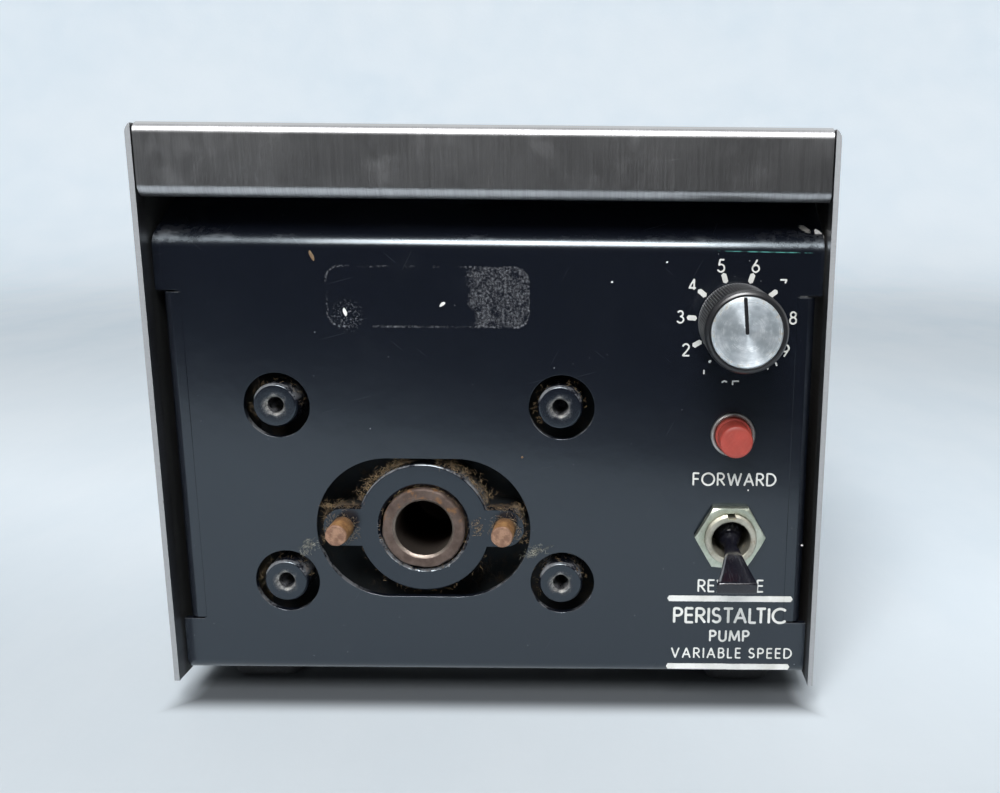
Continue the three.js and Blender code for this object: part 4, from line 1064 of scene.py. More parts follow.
def make_rear_fittings():
    grommet = axis_of("cord_grommet")
    low, high = span("cord_grommet")
    plate_low, plate_high = span("rear_panel")
    ring = turned("rubber_grommet", rounded([
        (4.6, low.y, 0.8), (8.0, low.y, 1.0), (8.0, plate_low.y - 0.1), (6.4, plate_low.y - 0.1),
        (6.4, plate_high.y + 0.1), (8.0, plate_high.y + 0.1), (8.0, high.y, 1.1), (4.6, high.y, 0.9),
    ], True), grommet, 72, True)
    shade(ring, 50)
    finish_piece(ring, "rubber", replaced=["cord_grommet"])

    fuse = axis_of("fuse_holder")
    low, high = span("fuse_holder")

    def ribbed(radius, depth, angle):
        grip = radius > 7.3 and plate_high.y + 1.6 < depth < high.y - 1.2
        return radius - (0.22 * (0.5 - 0.5 * math.cos(36 * angle)) if grip else 0)

    seat = plate_high.y + 0.2
    profile = rounded([
        (0, low.y), (6.2, low.y, 0.5), (6.5, low.y + 2), (6.5, seat), (7.6, seat, 0.2), (7.6, seat + 1.3),
        (7.5, seat + 1.5), (7.5, high.y - 1.4), (7.4, high.y - 1.1), (6.7, high.y, 0.6), (0, high.y),
    ], steps=5)
    holder = turned("fuse_holder_cap", profile, fuse, 288, shape=ribbed)
    slot = box_outline(-4.2, 4.2, -0.6, 0.6, 0.1, 2)
    combine(holder, [prism("slot", slot, high.y - 1.2, high.y + 1, origin=fuse)])
    shade(holder, 35)
    finish_piece(holder, "black_plastic", replaced=["fuse_holder"])


# ---------------------------------------------------------------- pump head mounting


def make_gearbox_nose():
    """The casting behind the panel, with the bearing nose and the two ears that stand out of it."""
    low, high = span("gearbox_front_plate")
    axis = axis_of("output_spindle")
    plate_front = 12
    plate = box_outline(low.x, high.x, low.z, high.z, 8)
    casting = prism("gearbox_nose_casting", plate, plate_front, high.y)
    radius, bore, edge = NOSE["radius"], NOSE["bore"], NOSE["edge"]
    nose = rounded(
        [(0, low.y), (radius, low.y, edge), (radius, plate_front + 1), (0, plate_front + 1)], steps=5,
    )
    nose = turned("nose", nose, axis, 144)
    ears = stadium(axis.x, axis.z, EARS["width"], EARS["height"], 24)
    ears = prism("ears", ears, low.y, plate_front + 1.5)
    combine(casting, [nose], "UNION")
    combine(casting, [ears], "UNION")
    second = axis_of("intermediate_shaft")
    bores = [prism("bore", circle(second.x, second.z, 3.1, 32), 13, high.y + 1)]
    for hand in ("left", "right"):
        stud = axis_of(f"locating_stud_{hand}")
        bores.append(prism("bore", circle(stud.x, stud.z, 2.66, 48), low.y - 1, 8.4))
    combine(casting, [merged("bores", bores)])
    # The spindle's bore is cut last, on its own.
    bore_profile = [
        (0, low.y - 1), (bore + 1.6, low.y - 1), (bore, low.y + 0.6), (bore, high.y + 1), (0, high.y + 1),
    ]
    combine(casting, [turned("bore", bore_profile, axis, 144)])
    soften(casting, 0.35, 3)
    finish_piece(casting, "black_casting", replaced=["gearbox_front_plate"])


def make_studs():
    for hand in ("left", "right"):
        node = f"locating_stud_{hand}"
        low, high = span(node)
        place = axis_of(node)
        profile = rounded([(0, low.y + 0.02), (2.45, low.y + 0.06, 0.35), (2.55, low.y + 0.7, 0.3),
                           (2.55, high.y - 0.3, 0.2), (2.3, high.y), (0, high.y)])
        wear = random.Random(41 if hand == "left" else 43)
        bumps = [(wear.uniform(2, 9), wear.uniform(0, 6.3), wear.uniform(0.2, 1.6)) for _ in range(6)]

        def eaten(radius, depth, angle):
            rough = sum(math.sin(k * angle + phase + depth * drift) for k, phase, drift in bumps)
            return radius + 0.022 * rough * min(1, radius)

        stud = turned(f"rusty_{node}", divided(profile, 0.35), place, 64, shape=eaten)
        shade(stud, 60)
        finish_piece(stud, "rusty_stud", replaced=[node])


def make_standoffs():
    for name in STANDOFFS:
        low, high = span(name)
        place = axis_of(name)
        bottom = low.y + 10.5
        profile = rounded([
            (0, bottom + 0.8), (1.95, bottom), (1.95, low.y + 0.5), (2.35, low.y, 0.15), (4.7, low.y, 0.4),
            (5.15, low.y + 0.7, 0.4), (5.15, high.y), (0, high.y),
        ], steps=6)
        mouth = 2.1

        def threaded(radius, depth, angle):
            """A shallow thread cut into the hole."""
            if radius >= mouth or not low.y + 0.6 < depth < bottom - 0.2:
                return radius
            return radius - 0.12 * (0.5 + 0.5 * math.cos(2 * math.pi * depth / 0.7 + angle))

        boss = turned(f"tapped_{name}", divided(profile, 0.18, mouth), place, 72, shape=threaded)
        shade(boss, 45)
        finish_piece(boss, "standoff", replaced=[name])


def make_spindle():
    low, high = span("output_spindle")
    place = axis_of("output_spindle")
    head = (high.x - low.x) / 2
    profile = rounded([
        (0, 27.5), (6.3, 27, 0.5), (6.75, 26), (6.75, low.y + 0.75), (7.35, low.y + 0.05, 0.1),
        (head - 0.35, low.y, 0.25), (head, low.y + 0.4, 0.2), (head, 6.2, 0.2), (head - 0.3, 6.5), (8, 6.5),
        (8, 36), (7.6, 36.3), (5, 36.3), (5, high.y - 0.4), (4.6, high.y), (0, high.y),
    ], steps=5)
    # (where round the rim in degrees, half width in radians, depth)
    bites = [
        (38, 0.13, 0.30), (52, 0.10, 0.38), (20, 0.08, 0.20),
        (172, 0.16, 0.22), (262, 0.22, 0.25), (300, 0.10, 0.18),
    ]

    def chipped(radius, depth, angle):
        """The head's rim is eaten away here and there by rust."""
        if radius < head - 0.6 or depth > 3:
            return radius
        loss = 0.05 * (1 + math.sin(9 * angle) * math.sin(23 * angle + 1))
        for where, width, bite in bites:
            away = math.remainder(angle - math.radians(where), 2 * math.pi) / width
            loss += bite * math.exp(-away * away)
        return radius - loss

    spindle = turned("rusty_output_spindle", profile, place, 180, shape=chipped)
    shade(spindle, 35)
    finish_piece(spindle, "rusty_steel", "output_spindle", ["output_spindle"])


# ---------------------------------------------------------------- controls


def make_knob():
    low, high = span("speed_knob")
    place = axis_of("speed_knob")
    radius = (high.x - low.x) / 2
    front, rear = low.y, high.y

    def knurled(r, depth, angle):
        grip = r > radius - 0.4 and front + 1.3 < depth < rear - 0.5
        return r - (KNURL["depth"] * (0.5 - 0.5 * math.cos(KNURL["ridges"] * angle)) if grip else 0)

    profile = rounded([
        (0, front + 3.4), (3.0, front + 3.4), (3.0, front + 1.1), (7.5, front + 1.1),
        (7.5, front - 0.05, 0.12), (7.9, front - 0.1, 0.12), (8.35, front + 0.12, 0.2),
        (radius - 0.02, front + 0.85, 0.35),
        (radius, front + 1.25), (radius, front + 1.35), (radius, rear - 0.55), (radius, rear - 0.45),
        (radius - 0.1, rear, 0.2), (radius - 1.1, rear, 0.2), (radius - 1.1, rear - 6), (3.1, rear - 6),
        (3.1, front + 3.45), (0, front + 3.45),
    ], steps=5)
    knob = turned("knurled_knob", profile, place, KNURL["ridges"] * 10, shape=knurled)
    shade(knob, 50)
    finish_piece(knob, "knob_plastic", "speed_knob", ["speed_knob"])

    cap_low, cap_high = span("knob_cap")
    cap_radius = (cap_high.x - cap_low.x) / 2
    dish = [(0, cap_low.y + 0.10)]
    dish += [(cap_radius * 0.16 * i, cap_low.y + 0.10 - 0.05 * i / 5) for i in range(1, 6)]
    dish += [(cap_radius - 0.25, cap_low.y + 0.02, 0.18), (cap_radius, cap_low.y + 0.35, 0.15),
             (cap_radius, cap_high.y), (0, cap_high.y)]
    cap = turned("spun_cap", rounded(dish, steps=6), place, 160)

    def pointer(name, half_width, tip, corner, near, far):
        """A bar from the cap's middle to its rim, tilted as the pointer is."""
        outline = box_outline(-half_width, half_width, -half_width, tip, corner, 6)
        bar = prism(name, outline, cap_low.y + near, cap_low.y + far)
        bar.data.transform(Euler((0, math.radians(POINTER_TILT), 0)).to_matrix().to_4x4())
        bar.location = cap.location
        return bar

    combine(cap, [pointer("groove", 0.4, cap_radius + 1, 0.38, -1, 0.35)])
    soften(cap, 0.05, 2)
    finish_piece(cap, "spun_aluminium", "speed_knob", ["knob_cap"])
    line = pointer("pointer_line", 0.385, cap_radius - 0.1, 0.36, 0.16, 0.36)
    soften(line, 0.03, 2)
    finish_piece(line, "knob_plastic", "speed_knob")


def make_button():
    """The button is hollow behind, so its spring goes into it when it is pressed."""
    place = axis_of("reset_button")
    low, high = span("reset_button")
    pocket = high.y - SPRING_POCKET
    profile = rounded([
        (0, low.y), (2.9, low.y + 0.03, 1.5), (3.55, low.y + 0.25, 0.35), (3.78, low.y + 0.9, 0.5),
        (3.78, -2.2, 0.12), (4.15, -2.2, 0.2), (4.15, high.y), (3.65, high.y), (3.65, pocket), (0, pocket),
    ])
    button = turned("red_button", profile, place, 96)
    shade(button, 40)
    finish_piece(button, "red_plastic", "reset_button", ["reset_button"])

    low, high = span("reset_button_ring")
    ring = turned("button_bezel", rounded([
        (4.3, low.y + 0.1, 0.18), (4.75, low.y, 0.15), (5.1, low.y + 0.35, 0.25), (5.1, high.y),
        (4.3, high.y),
    ], True), place, 96, True)
    shade(ring, 40)
    finish_piece(ring, "bezel", replaced=["reset_button_ring"])


def make_toggle():
    place = axis_of("direction_switch_nut")
    low, high = span("direction_switch_nut")
    nut = prism("toggle_nut", hexagon(0, 0, high.z - low.z), low.y, high.y, origin=place)
    crown = [
        (0, low.y - 0.1), (7.35, low.y - 0.1), (8.8, low.y + 0.75), (8.8, high.y + 1), (0, high.y + 1),
    ]
    combine(nut, [turned("crown", crown, place, 96)], "INTERSECT")
    combine(nut, [prism("bore", circle(0, 0, 6.05, 96), low.y - 1, high.y + 1, origin=place)])
    soften(nut, 0.16, 3, 20)
    finish_piece(nut, "plated_hardware", replaced=["direction_switch_nut"])

    low, high = span("direction_switch_bushing")
    profile = [(4.5, high.y), (4.5, low.y + 0.25), (4.68, low.y + 0.04), (4.8, low.y), (5.7, low.y + 0.02)]
    pitch = 0.62
    depth = low.y + 0.3
    while depth < 1.0:
        profile += [
            (5.95, depth), (5.95, depth + 0.12), (5.66, depth + pitch / 2), (5.95, depth + pitch - 0.12),
        ]
        depth += pitch
    profile += [(5.95, 1.55), (7.6, 1.6), (7.6, 3.4), (5.9, 3.4), (5.9, high.y)]
    bushing = turned("toggle_bushing", profile, place, 96, True)
    keyway = prism("keyway", box_outline(-0.95, 0.95, 5.1, 7), low.y - 1, 1.4, origin=place)
    combine(bushing, [keyway])
    shade(bushing, 35)
    finish_piece(bushing, "bushing_metal", replaced=["direction_switch_bushing"])


def make_lever():
    """The bat handle: a ball in the bushing, a round neck, and a flat blade that widens to its tip."""
    joint = next(j for j in frame["joints"] if j["name"] == "direction_lever_throw")
    pivot = Vector(joint["pos_m"])
    # (distance out, half width, half thickness, how square the section is)
    sections = [
        (6.0, 1.5, 1.5, 0.0), (6.8, 1.66, 1.7, 0.0), (8.0, 1.72, 1.8, 0.25), (9.6, 1.88, 1.85, 0.6),
        (12.0, 2.35, 1.85, 0.85), (14.6, 2.95, 1.75, 0.95), (17.4, 3.66, 1.65, 1.0), (19.9, 4.34, 1.55, 1.0),
        (20.5, 4.48, 1.50, 1.0), (20.75, 4.40, 1.38, 1.0), (20.85, 4.24, 1.2, 1.0),
    ]
    sides = 64
    rings = []
    for reach, half_width, half_depth, square in sections:
        power = 2 + 8 * square
        ring = []
        for i in range(sides):
            angle = 2 * math.pi * (i + 0.5) / sides
            c, s = math.cos(angle), math.sin(angle)
            scale = (abs(c) ** power + abs(s) ** power) ** (-1 / power)
            ring.append((half_width * c * scale, -reach, half_depth * s * scale))
        rings.append(ring)
    blade = loft("lever_blade", rings)
    stem = turned("stem", rounded([
        (0, -7.6), (1.6, -7.6, 0.4), (1.7, -4.4, 0.8), (2.3, -3.2, 0.3), (2.3, 2.0), (1.6, 3.0),
        (1.6, 6.4, 0.4), (0, 6.5),
    ]), segments=48)
    half_circle = [math.radians(a) for a in range(0, 181, 6)]
    ball = turned("ball", [(3.2 * math.sin(a), -3.2 * math.cos(a)) for a in half_circle], segments=64)
    combine(blade, [stem], "UNION")
    combine(blade, [ball], "UNION")
    blade.name = "bat_lever"
    shade(blade, 38)
    blade.location = pivot
    blade.rotation_euler = (math.radians(LEVER_TILT), 0, 0)
    finish_piece(blade, "lever_plastic", "direction_lever", ["direction_lever"])


# ---------------------------------------------------------------- printed legend


def arc(x, z, radius_x, radius_z, first, last, steps=12):
    """Points along an ellipse between two angles in degrees."""
    points = []
    for i in range(steps + 1):
        angle = math.radians(first + (last - first) * i / steps)
        points.append((x + radius_x * math.cos(angle), z + radius_z * math.sin(angle)))
    return points


# Letters one unit high: (width, strokes)
STEM = [(0, 0), (0, 1)]
BOWL = [(0, 1), (0.25, 1)] + arc(0.25, 0.74, 0.26, 0.26, 90, -90) + [(0, 0.48)]
GLYPHS = {
    "A": (0.74, [[(0, 0), (0.37, 1)], [(0.37, 1), (0.74, 0)], [(0.14, 0.33), (0.60, 0.33)]]),
    "B": (0.52, [STEM, [(0, 1), (0.24, 1)] + arc(0.24, 0.77, 0.23, 0.23, 90, -90) + [(0, 0.54)],
                 [(0.24, 0.54)] + arc(0.25, 0.27, 0.27, 0.27, 90, -90) + [(0, 0)]]),
    "C": (0.82, [arc(0.5, 0.5, 0.5, 0.5, 48, 312, 20)]),
    "D": (0.70, [STEM, [(0, 1)] + arc(0.2, 0.5, 0.5, 0.5, 90, -90, 16) + [(0, 0)]]),
    "E": (0.46, [STEM, [(0, 1), (0.46, 1)], [(0, 0.52), (0.43, 0.52)], [(0, 0), (0.46, 0)]]),
    "F": (0.44, [STEM, [(0, 1), (0.44, 1)], [(0, 0.52), (0.41, 0.52)]]),
    "I": (0.0, [STEM]),
    "L": (0.40, [STEM, [(0, 0), (0.40, 0)]]),
    "M": (0.92, [[(0, 0), (0.1, 1)], [(0.1, 1), (0.46, 0.1)], [(0.46, 0.1), (0.82, 1)],
                 [(0.82, 1), (0.92, 0)]]),
    "O": (1.0, [arc(0.5, 0.5, 0.5, 0.5, 90, 452, 28)]),
    "P": (0.52, [STEM, BOWL]),
    "R": (0.56, [STEM, BOWL, [(0.22, 0.48), (0.56, 0)]]),
    "S": (0.52, [arc(0.26, 0.755, 0.22, 0.245, 35, 270) + arc(0.26, 0.265, 0.26, 0.245, 90, -150)[1:]]),
    "T": (0.56, [[(0.28, 0), (0.28, 1)], [(0, 1), (0.56, 1)]]),
    "U": (0.60, [[(0, 1), (0, 0.31)] + arc(0.3, 0.31, 0.3, 0.31, 180, 360)[1:] + [(0.6, 1)]]),
    "V": (0.70, [[(0, 1), (0.35, 0)], [(0.35, 0), (0.70, 1)]]),
    "W": (1.08, [[(0, 1), (0.27, 0)], [(0.27, 0), (0.54, 0.95)], [(0.54, 0.95), (0.81, 0)],
                 [(0.81, 0), (1.08, 1)]]),
    "2": (0.54, [arc(0.26, 0.74, 0.26, 0.26, 165, -30) + [(0, 0)], [(0, 0), (0.54, 0)]]),
    "3": (0.52, [arc(0.24, 0.77, 0.22, 0.23, 150, -90), arc(0.24, 0.27, 0.28, 0.27, 90, -150)]),
    "5": (0.52, [[(0.46, 1), (0.14, 1)], [(0.14, 1), (0.07, 0.54)], arc(0.23, 0.31, 0.29, 0.31, 125, -150)]),
    "6": (0.56, [[(0.38, 1), (0.05, 0.44)], arc(0.28, 0.29, 0.28, 0.29, 150, 510, 20)]),
    "8": (0.54, [arc(0.27, 0.77, 0.22, 0.23, 0, 360, 18), arc(0.27, 0.27, 0.27, 0.27, 0, 360, 20)]),
    "9": (0.56, [[(0.18, 0), (0.51, 0.56)], arc(0.28, 0.71, 0.28, 0.29, -30, 330, 20)]),
    # worn ones: only these bits of the 4, the 7, the 1 and the 10 are left
    "4": (0.56, [[(0.42, 0.14), (0.42, 0.98)], [(0.42, 0.98), (0.05, 0.33)], [(0.0, 0.26), (0.56, 0.26)]]),
    "7": (0.52, [[(0, 1), (0.50, 1)], [(0.50, 1), (0.40, 0.74)]]),
    "1": (0.0, [[(0, 0.1), (0, 0.42)]]),
    "10": (0.78, [[(0, 0.35), (0, 0.9)], arc(0.5, 0.5, 0.28, 0.5, 20, 130, 10)]),
}


def ribbon(points, width, jitter):
    """The outline of an inked line: round ends, and edges that waver a little."""
    line = [Vector(points[0])]
    for point in points[1:]:
        point = Vector(point)
        gap = (point - line[-1]).length
        if gap < 1e-4:
            continue
        pieces = max(1, round(gap / 0.35))
        line += [line[-1].lerp(point, (i + 1) / pieces) for i in range(pieces)]
    left, right = [], []
    for i, point in enumerate(line):
        along = (line[min(i + 1, len(line) - 1)] - line[max(i - 1, 0)]).normalized()
        across = Vector((-along.y, along.x))
        left.append(point + across * (width / 2 + jitter.uniform(-0.025, 0.02)))
        right.append(point - across * (width / 2 + jitter.uniform(-0.025, 0.02)))
    first = (line[0] - line[1]).normalized() * width * 0.3
    last = (line[-1] - line[-2]).normalized() * width * 0.3
    return left + [line[-1] + last] + right[::-1] + [line[0] + first]


# How far some pairs of letters close up, as a share of their height
KERNING = {"LT": 0.18, "TA": 0.10}


class Legend:
    """Collects inked strokes as one thin raised piece on the panel."""

    def __init__(self):
        self.strokes = []
        self.jitter = random.Random(7)

    def stroke(self, points, width):
        # Strokes that cross stand at slightly different heights, so no two faces share a plane.
        height = INK_HEIGHT + 0.0007 * (len(self.strokes) % 9)
        outline = ribbon(points, width, self.jitter)
        self.strokes.append(prism("stroke", outline, -height, 0.02))

    def glyph(self, name, x, z, height, width):
        for points in GLYPHS[name][1]:
            self.stroke([(x + px * height, z + pz * height) for px, pz in points], width)

    def word(self, text, left, right, low, high, width=0.42):
        """A word whose ink fills that box; the gaps between its letters follow."""
        left, right = left + width / 2, right - width / 2
        low, high = low + width / 2, high - width / 2
        height = high - low
        letters = [GLYPHS[c][0] * height for c in text if c != " "]
        tucks = [KERNING.get(text[i:i + 2], 0) * height for i in range(len(text))]
        gaps = sum(2.2 if c == " " else 1 for c in text[1:-1]) + 1 - text.count(" ")
        gap = (right - left - sum(letters) + sum(tucks)) / gaps
        x = left
        for c, tuck in zip(text, tucks):
            if c == " ":
                x += gap * 1.2
                continue
            self.glyph(c, x, low, height, width)
            x += GLYPHS[c][0] * height + gap - tuck

    def finish(self):
        ink = merged("printed_legend", self.strokes)
        shade(ink, 30)
        finish_piece(ink, "ink")


def print_legend():
    legend = Legend()
    legend.word("FORWARD", 46.45, 66.0, 54.45, 57.7)
    legend.word("REVERSE", 48.3, 64.1, 28.1, 31.4)
    for z in (26.5, 9.0):
        legend.stroke([(41.6, z), (55.6, z)], 1.45)
        legend.stroke([(55.75, z - 0.05), (70.7, z)], 1.45)
    legend.word("PERISTALTIC", 42.6, 69.8, 20.1, 24.3, 0.62)
    legend.word("PUMP", 51.4, 61.2, 15.4, 18.5, 0.5)
    legend.word("VARIABLE SPEED", 42.3, 71.6, 11.1, 13.9, 0.38)

    x, z = CONTROL_X, axis_of("speed_knob").z

    def outwards(angle):
        return Vector((math.sin(math.radians(angle)), math.cos(math.radians(angle))))

    tick_angles = [17.15, 51.4, 85.7, 120]
    for angle in [-a for a in tick_angles] + tick_angles + [154]:
        start, end = (Vector((x, z)) + outwards(angle) * reach for reach in (9.3, 11.0))
        legend.stroke([start, end], 1.15)
    legend.stroke([(x - 5.95, z - 9.25), (x - 5.6, z - 8.95)], 0.55)
    # (digit, angle from straight up, distance from the dial's middle)
    digits = [
        ("2", -120, 13.0), ("3", -85.7, 12.7), ("4", -51.4, 13.0), ("5", -17.15, 13.0), ("6", 17.15, 13.0),
        ("7", 51.4, 13.0), ("8", 85.7, 12.7), ("9", 120, 13.0), ("1", -147, 13.0), ("10", 141, 13.4),
    ]
    for name, angle, reach in digits:
        out = outwards(angle) * reach
        width = GLYPHS[name][0] * DIGIT_HEIGHT
        legend.glyph(name, x + out.x - width / 2, z + out.y - DIGIT_HEIGHT / 2, DIGIT_HEIGHT, 0.38)
    # what is left of OFF under the dial
    legend.stroke([(x - 2.9, 79.0), (x - 2.35, 79.35), (x - 1.8, 79.1)], 0.36)
    legend.stroke([(x - 0.45, 78.5), (x - 0.45, 79.3), (x + 0.1, 79.3)], 0.36)
    legend.stroke([(x + 0.1, 79.3), (x + 0.9, 79.3)], 0.34)
    legend.finish()


# ---------------------------------------------------------------- lint and grit


def tube(points, radius, mesh):
    """Adds a thin closed tube along points, in millimetres from the panel's face, to a bmesh."""
    sides = 4
    rings = []
    for i, point in enumerate(points):
        along = (points[min(i + 1, len(points) - 1)] - points[max(i - 1, 0)]).normalized()
        across = along.orthogonal().normalized()
        other = along.cross(across)
        ring = []
        for k in range(sides):
            angle = 2 * math.pi * k / sides
            offset = (across * math.cos(angle) + other * math.sin(angle)) * radius
            ring.append(mesh.verts.new((point + offset) * MM))
        rings.append(ring)
    for a, b in zip(rings, rings[1:]):
        for k in range(sides):
            mesh.faces.new((a[k], a[(k + 1) % sides], b[(k + 1) % sides], b[k]))
    mesh.faces.new(rings[0][::-1])
    mesh.faces.new(rings[-1])


def fibre_path(chance, start, length, spread):
    """A wandering thread: it keeps its heading for a while and curls as it goes."""
    heading = Vector([chance.gauss(0, s) for s in spread])
    heading.normalize()
    curl = Vector([chance.gauss(0, 0.35 * s) for s in spread])
    points = [Vector(start)]
    steps = 6
    for _ in range(steps):
        heading = (heading + curl * 0.5).normalized()
        points.append(points[-1] + heading * length / steps)
        curl += Vector([chance.gauss(0, 0.25 * s) for s in spread])
    return points


def clump(name, material, seed, groups):
    """Lint as one piece. Each group is (fibres, length, thickness, spread, where), and where(chance) gives
    a start point on the surface that it clings to."""
    chance = random.Random(seed)
    mesh = bmesh.new()
    for count, length, thickness, spread, where in groups:
        for _ in range(count):
            start = where(chance)
            path = fibre_path(chance, start, length * chance.uniform(0.5, 1.3), spread)
            tube(path, thickness / 2, mesh)
    bmesh.ops.recalc_face_normals(mesh, faces=mesh.faces)
    data = bpy.data.meshes.new(name)
    mesh.to_mesh(data)
    mesh.free()
    lint = bpy.data.objects.new(name, data)
    bpy.context.scene.collection.objects.link(lint)
    lint.location = (0, FACE_Y, 0)
    shade(lint, 60)
    finish_piece(lint, material)


def around(x, z, radius, first, last, front, depth, scatter=0.25):
    """Start points round part of a circle, between two angles in degrees anticlockwise from +X."""
    def where(chance):
        angle = math.radians(chance.uniform(first, last))
        r = radius + abs(chance.gauss(0, scatter))
        return x + r * math.cos(angle), chance.uniform(front, depth), z + r * math.sin(angle)
    return where


def along(x0, z0, x1, z1, front, depth, scatter=0.15):
    """Start points along a line across the front."""
    def where(chance):
        t = chance.random()
        x = x0 + (x1 - x0) * t + chance.gauss(0, scatter)
        y = chance.uniform(front, depth)
        return x, y, z0 + (z1 - z0) * t + abs(chance.gauss(0, scatter))
    return where


def lay_lint():
    axis = axis_of("output_spindle")
    x, z = axis.x, axis.z
    flat = (1, 0.3, 1)
    left, right = axis_of("locating_stud_left"), axis_of("locating_stud_right")
    ear_top = z + 4.6
    nose = NOSE["radius"]
    clump("lint_on_nose", "tan_lint", 5, [
        (300, 1.1, 0.042, flat, around(x, z, nose + 0.1, 98, 158, 0.6, 3.2, 0.85)),
        (280, 1.1, 0.042, flat, around(x, z, nose + 0.1, 22, 78, 0.6, 3.2, 1.1)),
        (60, 1.0, 0.042, flat, around(x, z, nose, 200, 335, 1.0, 3.2, 0.5)),
        (130, 1.1, 0.042, flat, along(x - 24.6, ear_top, x - 15.2, ear_top, 0.4, 2.4, 0.8)),
        (110, 1.1, 0.042, flat, along(x + 15.2, ear_top, x + 24.2, ear_top, 0.4, 2.4, 0.5)),
        (130, 1.1, 0.045, flat, along(x + 21.8, z + 5, x + 23.6, z - 4, 0.4, 2.2, 0.7)),
        (90, 1.1, 0.045, flat, along(x - 23.6, z - 4, x - 22.4, z + 5, 0.4, 2.2, 0.5)),
    ])
    clump("lint_round_studs", "tan_lint", 9, [
        (110, 0.8, 0.045, flat, around(left.x, left.z, 2.7, 0, 360, 0.1, 0.75, 0.6)),
        (120, 0.8, 0.045, flat, around(right.x, right.z, 2.7, 0, 360, 0.1, 0.75, 0.6)),
        (110, 0.6, 0.045, flat, around(x, z, 10.1, 0, 360, 0.1, 0.8, 0.22)),
        (60, 0.6, 0.06, flat, along(x + 12.6, z + 1.4, x + 12.9, z - 1.8, 0.4, 0.8, 0.6)),
    ])
    clump("lint_beside_cutout", "grey_lint", 13, [
        (90, 0.9, 0.036, (1, 0.12, 1), along(-44.4, 36.4, -42.3, 39.6, -0.12, -0.04, 0.9)),
        (110, 0.9, 0.036, (1, 0.12, 1), along(8.0, 36.4, 11.6, 38.6, -0.12, -0.04, 0.9)),
    ])
    groups = []
    for name in STANDOFFS:
        place = axis_of(name)
        groups.append((44, 0.9, 0.04, flat, around(place.x, place.z, 5.2, 0, 220, 0.3, 2.2, 0.7)))
    clump("lint_round_standoffs", "tan_lint", 17, groups)


def drop_grit():
    """Flecks of paint and dirt that sit on the panel: (x, z, long way, short way, turn) by material."""
    flecks = {
        "pale_fleck": [
            (-32.4, 94.2, 0.95, 0.45, 100), (-10.6, 96.2, 0.85, 0.4, 35), (73.9, 112.0, 1.9, 0.6, -48),
            (27.4, 101.5, 0.28, 0.2, 0), (39.6, 106.0, 0.3, 0.2, 40), (59.5, 53.5, 0.2, 0.2, 0),
            (72.7, 40.1, 0.3, 0.22, 20),
        ],
        "tan_lint": [(-39.3, 106.8, 1.2, 0.42, -70), (6.9, 61.0, 0.3, 0.25, 0)],
    }
    for kind, places in flecks.items():
        chance = random.Random(23)
        bits = []
        for x, z, length, width, turn in places:
            # above the crease the panel leans back
            depth = max(0.0, (z - CREASE) * RECESS["depth"] / RECESS["rise"])
            outline = []
            for i in range(9):
                angle = 2 * math.pi * i / 9
                r = chance.uniform(0.75, 1.15)
                p = Vector((length * r * math.cos(angle), width * r * math.sin(angle)))
                c, s = math.cos(math.radians(turn)), math.sin(math.radians(turn))
                outline.append(Vector((x + p.x * c - p.y * s, z + p.x * s + p.y * c)))
            bits.append(prism("bit", outline, depth - 0.12, depth + 0.05))
        grit = merged(f"{kind}_grit", bits)
        shade(grit, 40)
        finish_piece(grit, kind)


# ---------------------------------------------------------------- floor, light and camera


def make_stage():
    """A pale table top under the unit, whose front edge its panel mirrors, and a pale sweep that only the
    camera sees, so that the table seems to go on."""
    table = prism("table_top", TABLE, -3, 0, "Z")
    table.data.materials.append(MATERIALS["floor"])
    steps = 160
    flat, rise, below = 1200, 900, 0.02
    profile = [(flat, below)]
    profile += [(flat + rise * math.sin(math.radians(a)), below + rise - rise * math.cos(math.radians(a)))
                for a in range(6, 91, 6)]
    profile.append((flat + rise, 3 * rise))
    points, faces, rings = [(0, 0, below)], [], []
    for r, height in profile:
        rings.append(range(len(points), len(points) + steps))
        for i in range(steps):
            angle = 2 * math.pi * i / steps
            points.append((r * math.cos(angle), r * math.sin(angle), height))
    faces += [(0, rings[0][i], rings[0][(i + 1) % steps]) for i in range(steps)]
    for a, b in zip(rings, rings[1:]):
        faces += [(a[i], a[(i + 1) % steps], b[(i + 1) % steps], b[i]) for i in range(steps)]
    sweep = make_mesh("pale_sweep", points, faces, (0, -FACE_Y / MM, 0))
    shade(sweep, 60)
    sweep.data.materials.append(MATERIALS["sweep"])
    for kind in ("glossy", "diffuse", "transmission", "shadow"):
        setattr(sweep, f"visible_{kind}", False)


def area_light(name, place, aim, size, power, colour=(1, 1, 1)):
    data = bpy.data.lights.new(name, "AREA")
    data.shape = "RECTANGLE"
    data.size, data.size_y = size
    data.energy = power
    data.color = colour
    lamp = bpy.data.objects.new(name, data)
    bpy.context.scene.collection.objects.link(lamp)
    lamp.location = place
    lamp.rotation_euler = (Vector(aim) - Vector(place)).to_track_quat("-Z", "Y").to_euler()
    lamp.visible_camera = False
    return lamp


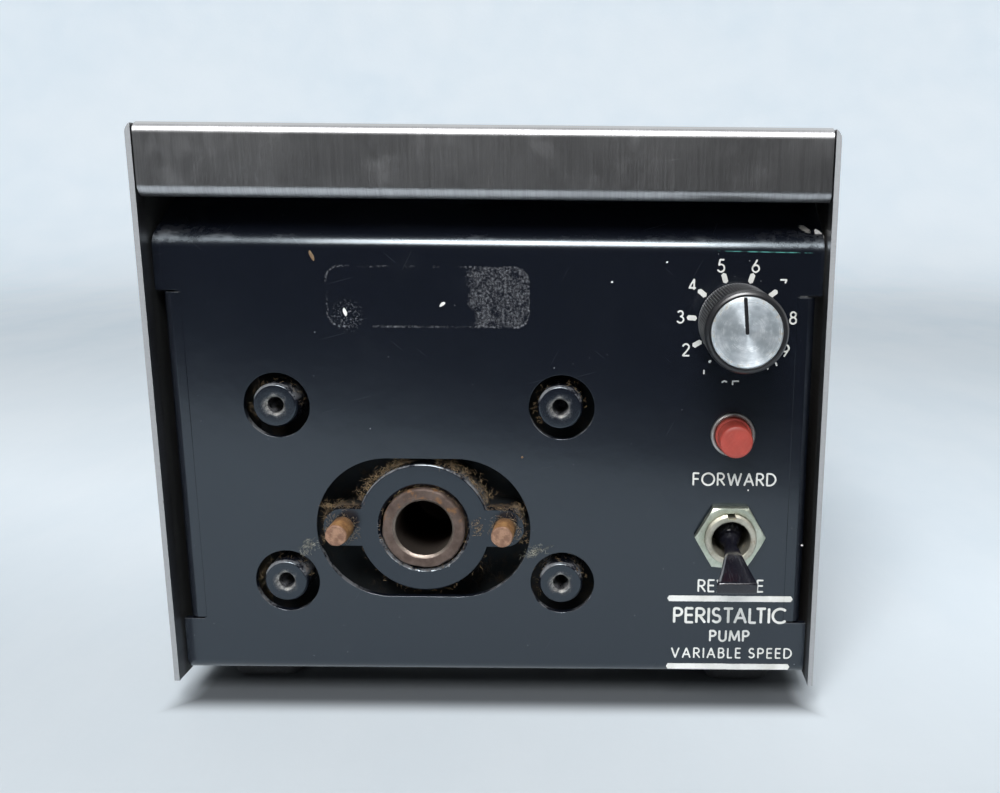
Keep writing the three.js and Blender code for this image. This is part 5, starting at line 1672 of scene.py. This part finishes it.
def light_scene():
    aim = (-0.02, -0.08, 0.10)
    area_light("softbox", (-0.07, -0.72, 0.86), aim, (0.50, 0.54), 12.0, (1.0, 0.99, 0.98))
    # A lamp seen only in polished surfaces, which draws the bright line along the crease.
    strip = area_light("strip", (-0.05, -0.70, 0.84), aim, (0.34, 0.26), 11.0, (0.97, 0.98, 1.0))
    strip.visible_diffuse = False

    world = bpy.data.worlds.new("studio")
    bpy.context.scene.world = world
    world.use_nodes = True
    tree = world.node_tree
    tree.nodes.clear()
    output, background, coordinates, split, ramp, mix, path = (
        tree.nodes.new("ShaderNode" + kind)
        for kind in ("OutputWorld", "Background", "TexCoord", "SeparateXYZ", "MapRange", "Mix", "LightPath")
    )
    # Mirrored rays that leave towards the front meet a dark room, and other mirrored rays a bright one. All
    # the rest meet the same even light.
    ramp.interpolation_type = "SMOOTHSTEP"
    for key, value in {"From Min": -0.75, "From Max": -0.10, "To Min": 0.03, "To Max": 0.78}.items():
        ramp.inputs[key].default_value = value
    mix.inputs["A"].default_value = 0.46
    background.inputs["Color"].default_value = (0.95, 0.98, 1.0, 1)
    for source, target in (
        (coordinates.outputs["Generated"], split.inputs[0]),
        (split.outputs["Y"], ramp.inputs["Value"]),
        (path.outputs["Is Glossy Ray"], mix.inputs["Factor"]),
        (ramp.outputs[0], mix.inputs["B"]),
        (mix.outputs["Result"], background.inputs["Strength"]),
        (background.outputs[0], output.inputs["Surface"]),
    ):
        tree.links.new(source, target)


def aim_camera():
    """The photograph's view: level with the lip's lower edge, right of the middle, tilted downwards."""
    data = bpy.data.cameras.new("camera")
    data.sensor_width = 36
    data.lens = 36.32
    data.shift_x = -0.1203
    data.shift_y = 0.0201
    data.clip_start = 0.01
    camera = bpy.data.objects.new("camera", data)
    bpy.context.scene.collection.objects.link(camera)
    camera.location = (0.02863, -0.31401, 0.12028)
    camera.rotation_euler = [math.radians(a) for a in (77.66, -0.54, -0.108)]
    bpy.context.scene.camera = camera
    bpy.context.scene.view_settings.view_transform = "Standard"


# ---------------------------------------------------------------- the scene


dress_cad_nodes()
make_cover()
make_front_panel()
make_rear_panel()
make_feet()
make_cover_screws()
make_rear_fittings()
make_gearbox_nose()
make_studs()
make_standoffs()
make_spindle()
make_knob()
make_button()
make_toggle()
make_lever()
print_legend()
lay_lint()
drop_grit()
make_stage()
light_scene()
aim_camera()
